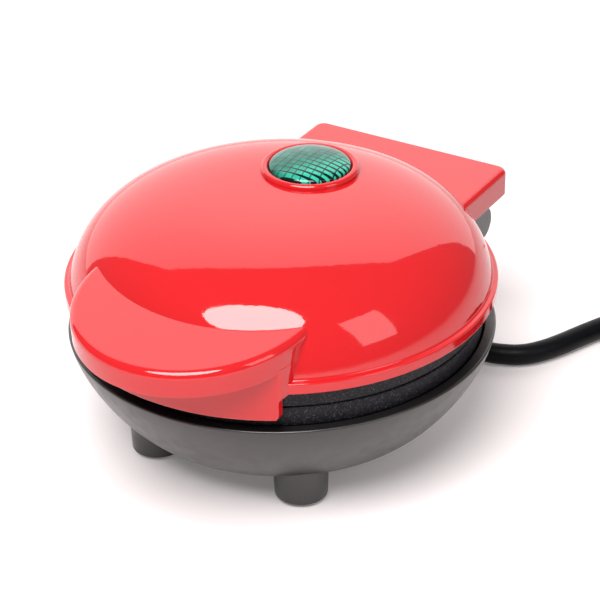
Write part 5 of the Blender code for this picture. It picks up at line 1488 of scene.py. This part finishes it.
    def ear_room(self, side: int) -> Shape:
        """The room inside one ear, open to the bowl.

        Args:
            side: -1 for the left ear and 1 for the right one.

        Returns:
            The shape.
        """
        fit, wall = self.fit, self.ear_wall
        low, high = sorted((side * (self.ear_half_span - wall),
                            side * (self.ear_half_span - self.ear_width + wall)))
        top_z = fit.hinge_z + fit.ear_radius - wall
        rim_z = fit.rim_z - wall * 0.4
        front = fit.plate_radius + self.swing_play / 2 - wall
        back = fit.hinge_y + fit.ear_radius / 3
        foot = self.bracket_y - 2 * wall
        outline = [
            (front, top_z), (back, top_z), (back, fit.hinge_z - fit.ear_radius + wall),
            (self.bracket_y, self.bracket_z + wall * 0.9), (foot, self.bracket_z), (foot, rim_z),
            (front, rim_z),
        ]
        return Shape.prism(outline, low, high).placed(SIDEWAYS)

    def column(self) -> Shape:
        """The column behind the bowl, cut square to the cord at its outlet.

        Returns:
            The shape.
        """
        fit, half, far = self.fit, self.column_half_width, 0.04
        outlet, leaving = Vector(fit.outlet), fit.leaving()
        body = Shape.block((-half, self.column_front_y, self.column_foot_z),
                           (fit.outlet[0] + self.wall, self.column_back_y, self.column_top_z))
        body.bevelled(self.wall, 5, sharper_than(60.0))
        turn = Matrix.Rotation(math.radians(fit.outlet_slope_deg), 4, "Y")
        trim = Shape.block((0.0, -far, -far), (2 * far, far, far)).placed(Matrix.Translation(outlet) @ turn)
        back, wall = outlet - leaving * self.socket_reach, outlet - leaving * fit.outlet_wall
        room = Shape.rod(self.socket_radius, back, wall)
        hole = Shape.rod(self.outlet_bore, outlet - leaving * self.outlet_bore_depth, outlet + leaving * PAST)
        return body.combined(Cut.DIFFERENCE, trim, room, hole)

    def bosses(self) -> Shape:
        """The bosses inside the bowl, over the screws' wells, and the two that hold the cord's clamp.

        Returns:
            The shape.
        """
        fit, bore, made = self.fit, self.boss_bore, Shape()
        low, top = self.floor_z + self.wall / 2, fit.post_top_z
        well_top = top - fit.well_roof
        for angle in fit.post_angles:
            ring = Shape.turned([
                (self.boss_radius, low), (self.boss_radius, top), (bore, top), (bore, well_top),
                (self.well_radius, well_top), (self.well_radius, low),
            ], 48, ring=True)
            made.with_(ring.moved(polar(fit.post_radius, angle)))
        radius, top = self.clamp_boss_radius, self.floor_z + self.wall + self.clamp_boss_height
        for side in (-1, 1):
            ring = Shape.turned([(radius, low), (radius, top), (bore, top), (bore, low)], 40, ring=True)
            made.with_(ring.moved((side * self.clamp_boss[0], self.clamp_boss[1], 0.0)))
        return made


@dataclass
class Fasteners(SubAssembly):
    """The screws, with their recesses, and the hinge's pin and bush."""

    radius: float = 0.0013
    head_radius: float = 0.0026
    head_height: float = 0.0018
    length: float = 0.0120
    recess: float = 0.0032
    recess_width: float = 0.0006

    def build(self) -> None:
        """Makes the screws that can be seen and dresses the others."""
        fit = self.fit
        upper_z, lower_z = fit.upper_face() + self.head_height, fit.post_top_z - fit.well_roof - fit.gap
        for index, angle in enumerate(fit.post_angles, 1):
            for half, body, seat in (
                ("upper", Body.LID, polar(fit.screw_radius, angle, upper_z)),
                ("lower", Body.BASE, polar(fit.post_radius, angle, lower_z)),
            ):
                node = f"{half}_plate_screw_{index}"
                self.piece(f"plate_screw_{half}_{index}", self.screw(seat), STEEL, body, [node])
        self.dress(
            STEEL, "upper_shield_screw_1", "upper_shield_screw_2", "upper_shield_screw_3",
            "clamp_screw_left", "clamp_screw_right", "hinge_pin", "hinge_bush",
        )

    def screw(self, seat: Vector) -> Shape:
        """A pan-head screw that points up from its seat, with a cross recess below.

        Args:
            seat: The middle of the underside of its head.

        Returns:
            The shape.
        """
        shank, length, head, height = self.radius, self.length, self.head_radius, self.head_height
        profile = filleted([
            (0.0, length, 0.0), (shank * 0.7, length, 0.0), (shank, length - shank, 0.0),
            (shank, 0.0, 0.0), (head, 0.0, 0.0001), (head, -height * 0.5, 0.0005),
            (head * 0.55, -height, 0.0008), (0.0, -height, 0.0),
        ], 4)
        half, wide = self.recess / 2, self.recess_width / 2
        slots = [
            Shape.block((-across, -along, -height - PAST), (across, along, -height * 0.45))
            for across, along in ((half, wide), (wide, half))
        ]
        return Shape.turned(profile, 40).combined(Cut.DIFFERENCE, *slots).moved(seat)


@dataclass
class Wiring(SubAssembly):
    """What lies inside the base: clamp, fuse, thermostat, connector and wires."""

    def build(self) -> None:
        """Dresses the carried-over pieces."""
        self.dress(CERAMIC, "thermostat")
        self.dress(NATURAL, "thermal_fuse", "wire_connector")
        self.dress(WIRE, "fuse_wire", "thermostat_wire", "neutral_wire")
        self.dress(SLEEVE, "base_link_cable", "lid_link_cable")
        self.dress(STEEL, "cord_clamp")
        self.dress(CORD, "inner_cord")


@dataclass
class CordSet(SubAssembly):
    """The cord from its strain relief to its plug, with the coil and its tie."""

    radius: float = 0.0034
    flange: float = 0.0018
    flange_radius: float = 0.0052
    inner_flange_radius: float = 0.0049
    neck_radius: float = 0.0042
    relief_length: float = 0.0160
    relief_root: float = 0.0047
    relief_tip: float = 0.0040
    relief_groove: float = 0.0006
    relief_rings: int = 6
    route: Tuple[Point3, ...] = (
        (0.0345, 0.0609, 0.0047), (0.0379, 0.0612, 0.0039), (0.0412, 0.0619, 0.0035),
        (0.0448, 0.0634, 0.0034), (0.0489, 0.0655, 0.0034), (0.0525, 0.0690, 0.0034),
        (0.0554, 0.0738, 0.0034), (0.0580, 0.0791, 0.0034), (0.0602, 0.0845, 0.0034),
        (0.0625, 0.0899, 0.0034), (0.0654, 0.0958, 0.0034), (0.0696, 0.1018, 0.0034),
        (0.0752, 0.1068, 0.0036), (0.0818, 0.1106, 0.0040),
    )
    step: float = 0.0070
    coil_centre: Point2 = (0.1220, 0.0850)
    coil_radius: float = 0.0400
    coil_start_deg: float = 115.0
    coil_turns: float = 3.34
    coil_pitch: float = 0.0074
    per_turn: int = 24
    lift: float = 0.00108
    plug_z: float = 0.0092
    plug_run: float = 0.0180
    plug_run_steps: int = 4
    plug_turn_deg: float = 6.0
    plug_size: Point3 = (0.0240, 0.0230, 0.0172)
    plug_round: float = 0.0035
    plug_tail: float = 0.0160
    sleeve_start: float = 0.0042
    sleeve_end: float = 0.0062
    sleeve_rings: int = 5
    grip_rise: float = 0.32
    grip_start: float = 0.28
    grip_pitch: float = 0.0026
    grip_width: float = 0.0011
    grip_depth: float = 0.0006
    grips: int = 4
    blade_spacing: float = 0.0127
    blade_size: Point3 = (0.0160, 0.0015, 0.0063)
    blade_corner: float = 0.0012
    blade_hole_radius: float = 0.0016
    blade_hole_reach: float = 0.0115
    tie_deg: float = 215.0
    tie_width: float = 0.0060
    tie_thickness: float = 0.0005
    tie_play: float = 0.0005

    def build(self) -> None:
        """Makes the cord and what is on it."""
        lead = self.lead()
        coil, out = self.coil()
        points = lead + coil
        length = sum((b - a).length for a, b in zip(points, points[1:]))
        cord = self.curve(points)
        plug = self.plug(coil[-1] + out * self.fit.gap, out)
        tie = self.tie()
        self.relief()
        LOG.info("%s: %.3f m of cord", cord.name, length)

    def lead(self) -> List[Vector]:
        """The stretch from the strain relief to the coil.

        Returns:
            Its points.
        """
        fit, leaving = self.fit, self.fit.leaving()
        straight = 2 * self.radius
        tip = Vector(fit.outlet) + leaving * (self.flange + fit.gap + self.relief_length)
        start = tip + leaving * fit.gap
        approach = polar(1.0, self.coil_start_deg - 90.0)
        end = self.coil_point(0.0) - approach * (straight + fit.gap)
        route = [start + leaving * straight] + [Vector(point) for point in self.route]
        return [start] + self.evenly(route + [end - approach * straight]) + [end]

    def evenly(self, points: List[Vector]) -> List[Vector]:
        """Points a step apart along the smooth curve through the given ones.

        Args:
            points: The given points.

        Returns:
            The new points.
        """
        knots = [2 * points[0] - points[1]] + points + [2 * points[-1] - points[-2]]
        fine, parts = [], 20
        for before, start, end, after in zip(knots, knots[1:], knots[2:], knots[3:]):
            for index in range(parts):
                t = index / parts
                fine.append(0.5 * (
                    2 * start + (end - before) * t + (2 * before - 5 * start + 4 * end - after) * t ** 2
                    + (3 * start - before - 3 * end + after) * t ** 3
                ))
        fine.append(knots[-2])
        total = sum((b - a).length for a, b in zip(fine, fine[1:]))
        count = max(2, round(total / self.step))
        picked, walked, index = [fine[0]], 0.0, 1
        for a, b in zip(fine, fine[1:]):
            length = (b - a).length
            while index < count and walked + length >= total * index / count:
                picked.append(a.lerp(b, (total * index / count - walked) / length))
                index += 1
            walked += length
        return picked + [fine[-1]]

    def coil_point(self, turn: float) -> Vector:
        """The cord's centre after some turns: in on the lower layer, out on the upper.

        Args:
            turn: How many turns, from 0 where the coil starts.

        Returns:
            The place.
        """
        run = (self.coil_turns - 0.5) / 2
        rise = min(max((turn - run) / 0.5, 0.0), 1.0)
        radius = self.coil_radius - self.coil_pitch * min(turn, self.coil_turns - turn)
        spot = polar(radius, self.coil_start_deg - 360.0 * turn)
        height = self.radius + self.lift + self.coil_pitch * rise * rise * (3 - 2 * rise)
        return Vector((self.coil_centre[0] + spot.x, self.coil_centre[1] + spot.y, height))

    def coil(self) -> Tuple[List[Vector], Vector]:
        """The coil and the run to the plug.

        Returns:
            Its points, and the direction at its end.
        """
        straight = 2 * self.radius
        count = round(self.coil_turns * self.per_turn)
        turns = [self.coil_point(self.coil_turns * index / count) for index in range(count + 1)]
        entry = turns[0] - polar(1.0, self.coil_start_deg - 90.0) * straight
        end_deg = self.coil_start_deg - 360.0 * self.coil_turns - 90.0
        bend = self.plug_run / math.radians(self.plug_turn_deg)
        tail = []
        for index in range(1, self.plug_run_steps + 1):
            share = index / self.plug_run_steps
            turned = self.plug_turn_deg * share
            chord = 2 * bend * math.sin(math.radians(turned) / 2)
            fall = (self.plug_z - turns[-1].z) * share
            tail.append(turns[-1] + polar(1.0, end_deg + turned / 2) * chord + Vector((0.0, 0.0, fall)))
        out = polar(1.0, end_deg + self.plug_turn_deg)
        return [entry] + turns + tail + [tail[-1] + out * straight], out

    def curve(self, points: List[Vector]) -> bpy.types.Object:
        """The cord as one curve through the points.

        Args:
            points: The points.

        Returns:
            The object.
        """
        data = bpy.data.curves.new("mains_cord", "CURVE")
        data.dimensions = "3D"
        data.bevel_depth = self.radius
        data.bevel_resolution = 6
        data.resolution_u = 4
        data.use_fill_caps = True
        spline = data.splines.new("BEZIER")
        spline.bezier_points.add(len(points) - 1)
        for knot, point in zip(spline.bezier_points, points):
            knot.co = point
            knot.handle_left_type = knot.handle_right_type = "AUTO"
        data.materials.append(CORD.material())
        item = added("mains_cord", data)
        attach(item, Body.BASE.value)
        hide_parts("cord_lead", "cord_coil")
        return item

    def relief(self) -> None:
        """Makes the ringed, tapered strain relief, with its neck and flanges in the wall."""
        fit, tail, groove = self.fit, [], self.relief_groove
        foot = self.flange + fit.gap
        for ring in range(self.relief_rings):
            for part, sunk in ((0.0, 0.0), (0.55, 0.0), (0.65, groove), (0.9, groove)):
                share = (ring + part) / self.relief_rings
                radius = self.relief_root + (self.relief_tip - self.relief_root) * share - sunk
                tail.append((radius, foot + self.relief_length * share, 0.00025))
        end, inside = foot + self.relief_length, -fit.outlet_wall - fit.gap
        outer, neck, inner = self.flange_radius, self.neck_radius, self.inner_flange_radius
        profile = filleted([(0.0, end, 0.0), (self.relief_tip - 0.0002, end, 0.0004)] + tail[::-1] + [
            (outer, self.flange, 0.0004), (outer, fit.gap, 0.0002), (neck, fit.gap, 0.0),
            (neck, inside, 0.0), (inner, inside, 0.0002), (inner, inside - self.flange, 0.0003),
            (0.0, inside - self.flange, 0.0),
        ], 3)
        turn = fit.leaving().to_track_quat("Z", "Y").to_matrix().to_4x4()
        shape = Shape.turned(profile, 64).placed(Matrix.Translation(Vector(fit.outlet)) @ turn)
        self.piece("cord_relief", shape, RUBBER, Body.BASE, ["strain_relief"])

    def plug(self, start: Vector, out: Vector) -> List[bpy.types.Object]:
        """The moulded plug and its two blades.

        Args:
            start: Where the cord ends.
            out: The direction away from it.

        Returns:
            The pieces.
        """
        turn = Matrix.Translation(start) @ out.to_track_quat("X", "Z").to_matrix().to_4x4()
        body = self.plug_body().with_(self.plug_sleeve()).placed(turn)
        pieces = [self.piece("plug_moulding", body, CORD, Body.BASE, ["plug_body"])]
        base = self.plug_tail + self.plug_size[0] + self.fit.gap
        for sign, name in ((1, "left"), (-1, "right")):
            blade = self.blade(base, sign * self.blade_spacing / 2).placed(turn)
            pieces.append(self.piece(f"plug_pin_{name}", blade, STEEL, Body.BASE, [f"plug_blade_{name}"]))
        return pieces

    def plug_body(self) -> Shape:
        """The plug's body along +X, with finger grips on its sides.

        Returns:
            The shape.
        """
        long, wide, high = self.plug_size
        start = self.plug_tail
        body = Shape.block((start, -wide / 2, -high / 2), (start + long, wide / 2, high / 2))
        body.bevelled(self.plug_round, 6, sharper_than(60.0))
        grips, up = [], high * self.grip_rise
        for row in range(self.grips):
            place = start + long * self.grip_start + row * self.grip_pitch
            for side in (-1, 1):
                near, far = sorted((side * (wide / 2 - self.grip_depth), side * (wide / 2 + PAST)))
                grips.append(Shape.block((place, near, -up), (place + self.grip_width, far, up)))
        return body.combined(Cut.DIFFERENCE, *grips)

    def plug_sleeve(self) -> Shape:
        """The ringed sleeve between the cord and the plug's body, along +X.

        Returns:
            The shape.
        """
        tail = []
        for ring in range(self.sleeve_rings):
            share = ring / self.sleeve_rings
            radius = self.sleeve_start + (self.sleeve_end - self.sleeve_start) * share
            for part, sunk in ((0.0, 0.0), (0.12, 0.0), (0.13, 0.0005), (0.19, 0.0004)):
                tail.append((radius - sunk, self.plug_tail * (share + part), 0.0002))
        end = self.plug_tail + self.plug_round
        profile = filleted([(0.0, 0.0, 0.0)] + tail + [(self.sleeve_end, end, 0.0), (0.0, end, 0.0)], 2)
        return Shape.turned(profile, 48).placed(Matrix.Rotation(math.radians(90.0), 4, "Y"))

    def blade(self, base: float, middle: float) -> Shape:
        """One blade along +X, with its round hole.

        Args:
            base: Where it starts.
            middle: Its middle across the plug.

        Returns:
            The shape.
        """
        long, thick, wide = self.blade_size
        tip = base + long
        made = Shape.block((base, middle - thick / 2, -wide / 2), (tip, middle + thick / 2, wide / 2))
        made.bevelled(self.blade_corner, 2, lambda edge: all(vert.co.x > tip - PAST for vert in edge.verts))
        place, near, far = base + self.blade_hole_reach, middle - 2 * PAST, middle + 2 * PAST
        hole = Shape.rod(self.blade_hole_radius, (place, near, 0.0), (place, far, 0.0), 32)
        return made.combined(Cut.DIFFERENCE, hole)

    def tie(self) -> bpy.types.Object:
        """The flat band round both layers of the coil.

        Returns:
            The object.
        """
        first = ((self.coil_start_deg - self.tie_deg) / 360.0) % 1.0
        turns = [first + loop for loop in range(math.ceil(self.coil_turns - first))]
        radii = [self.coil_radius - self.coil_pitch * min(turn, self.coil_turns - turn) for turn in turns]
        play, thick = self.tie_play, self.tie_thickness
        top_z = self.lift + 2 * self.radius + self.coil_pitch
        low = (min(radii) - self.radius - play - thick, self.lift - play - thick)
        high = (max(radii) + self.radius + play + thick, top_z + play + thick)
        outline = rounded_rectangle(low, high, self.radius / 2 + thick, 10)
        inner_low, inner_high = (low[0] + thick, low[1] + thick), (high[0] - thick, high[1] - thick)
        inner = rounded_rectangle(inner_low, inner_high, self.radius / 2, 10)
        half = self.tie_width / 2
        band = Shape.prism(outline, -half, half)
        band = band.combined(Cut.DIFFERENCE, Shape.prism(inner, -2 * half, 2 * half))
        turn = Matrix.Rotation(math.radians(self.tie_deg), 4, "Z") @ FORWARDS
        place = Matrix.Translation((*self.coil_centre, 0.0)) @ turn
        return self.piece("coil_band", band.placed(place), RUBBER, Body.BASE, ["cord_tie"])


# ---- Stage


@dataclass
class Camera:
    """The camera at the photograph's viewing angle."""

    azimuth_deg: float = 31.3
    elevation_deg: float = 30.1
    roll_deg: float = -0.95
    distance: float = 0.75414
    focal_px: float = 2499.71
    width_px: float = 601.0
    sensor_mm: float = 36.0
    side_shift: float = -0.00555
    up_shift: float = 0.00205
    target_z: float = 0.045
    clip: Point2 = (0.01, 50.0)

    def build(self) -> None:
        """Makes it the scene's camera."""
        back = bearing(self.azimuth_deg, self.elevation_deg)
        right = polar(1.0, self.azimuth_deg)
        up = back.cross(right)
        cos, sin = math.cos(math.radians(self.roll_deg)), math.sin(math.radians(self.roll_deg))
        right, up = cos * right + sin * up, cos * up - sin * right
        eye = Vector((0.0, 0.0, self.target_z)) + back * self.distance
        eye -= right * self.side_shift + up * self.up_shift
        data = bpy.data.cameras.new("photo_camera")
        data.sensor_width = self.sensor_mm
        data.lens = self.focal_px * data.sensor_width / self.width_px
        data.clip_start, data.clip_end = self.clip
        item = added("photo_camera", data)
        item.matrix_world = Matrix.Translation(eye) @ Matrix((right, up, back)).transposed().to_4x4()
        bpy.context.scene.camera = item


@dataclass(frozen=True)
class Panel:
    """A soft light panel that faces the object, or stands upright on the floor.

    Its centre is at an azimuth from the front towards +X, an elevation and a distance.
    """

    name: str
    azimuth_deg: float
    elevation_deg: float
    distance: float
    width: float
    height: float
    radiance: float
    oval: bool = False
    upright: bool = False

    def build(self, target: Vector) -> None:
        """Makes the lamp.

        Args:
            target: The place that it faces.
        """
        offset = bearing(self.azimuth_deg, self.elevation_deg)
        place = target + offset * self.distance
        if self.upright:
            place.z = self.height / 2
        data = bpy.data.lights.new(self.name, "AREA")
        data.shape = "ELLIPSE" if self.oval else "RECTANGLE"
        data.size, data.size_y = self.width, self.height
        area = self.width * self.height * (math.pi / 4 if self.oval else 1.0)
        data.energy = self.radiance * math.pi * area
        item = added(self.name, data)
        item.location = place
        item.rotation_euler = offset.to_track_quat("Z", "Y").to_euler()
        item.visible_camera = False


@dataclass
class Stage:
    """The pale floor and the soft studio light."""

    floor_half_size: float = 12.0
    floor_drop: float = 0.0002
    floor_dark: Colour = (0.8528, 0.7872, 0.7831)
    floor_pale: Colour = (0.8610, 0.7954, 0.79294)
    floor_tooth: float = 0.09
    lift_colour: Colour = (1.0, 0.955, 0.955)
    lift: float = 0.14
    air_colour: Colour = (1.0, 0.99, 0.98)
    surroundings: float = 0.22
    target: Point3 = (0.0, 0.0, 0.06)
    panels: Tuple[Panel, ...] = (
        Panel(
            "overhead_softbox", azimuth_deg=9.0, elevation_deg=58.5, distance=1.20, width=0.94,
            height=0.76, radiance=11.5, oval=True,
        ),
        Panel(
            "rear_backdrop", azimuth_deg=-146.0, elevation_deg=0.0, distance=1.20, width=2.60,
            height=2.32, radiance=1.32, upright=True,
        ),
        Panel(
            "right_panel", azimuth_deg=83.0, elevation_deg=31.0, distance=1.30, width=0.48,
            height=0.78, radiance=2.3,
        ),
    )

    def build(self) -> None:
        """Makes the floor, the lamps and the world."""
        shape = Shape()
        bmesh.ops.create_grid(shape.mesh, x_segments=8, y_segments=8, size=self.floor_half_size)
        floor = added("floor", shape.moved((0.0, 0.0, -self.floor_drop)).to_mesh("floor"))
        floor.data.materials.append(self.paper())
        for panel in self.panels:
            panel.build(Vector(self.target))
        world = bpy.data.worlds.new("studio")
        world.use_nodes = True
        back = world.node_tree.nodes["Background"]
        back.inputs["Color"].default_value = (*self.air_colour, 1.0)
        back.inputs["Strength"].default_value = self.surroundings
        bpy.context.scene.world = world
        bpy.context.scene.view_settings.view_transform = "Standard"

    def paper(self) -> bpy.types.Material:
        """The white paper of the floor, with a faint tooth.

        Returns:
            The material.
        """
        graph = Graph("studio_paper")
        tone = graph.noise(self.floor_tooth, 2.0).ramp(0.3, 0.7)
        colour = graph.blend(tone, self.floor_dark, self.floor_pale)
        paper = graph.node("ShaderNodeBsdfDiffuse", None, {"Color": colour, "Roughness": 0.0}).outputs[0]
        tint = (*self.lift_colour, 1.0)
        glow = graph.node("ShaderNodeEmission", None, {"Color": tint, "Strength": self.lift})
        path = graph.node("ShaderNodeLightPath")
        seen = Value(graph, path.outputs["Is Camera Ray"]) + Value(graph, path.outputs["Is Glossy Ray"])
        seen = (seen + Value(graph, path.outputs["Is Transmission Ray"])).minimum(1.0)
        lifted = graph.node("ShaderNodeAddShader", None, {0: paper, 1: glow.outputs[0]}).outputs[0]
        graph.surface(graph.node("ShaderNodeMixShader", None, {0: seen, 1: paper, 2: lifted}).outputs[0])
        return graph.material


def main() -> None:
    """Builds the camera, the cord and every sub-assembly in order."""
    logging.basicConfig(level=logging.INFO, format="%(name)s %(message)s")
    Camera().build()
    for assembly in (CordSet(), Lid(), Indicator(), WafflePlates(), Base(), Fasteners(), Wiring()):
        assembly.build()
        LOG.info("%s is built", type(assembly).__name__)
    Stage().build()


if __name__ == "__main__":
    main()
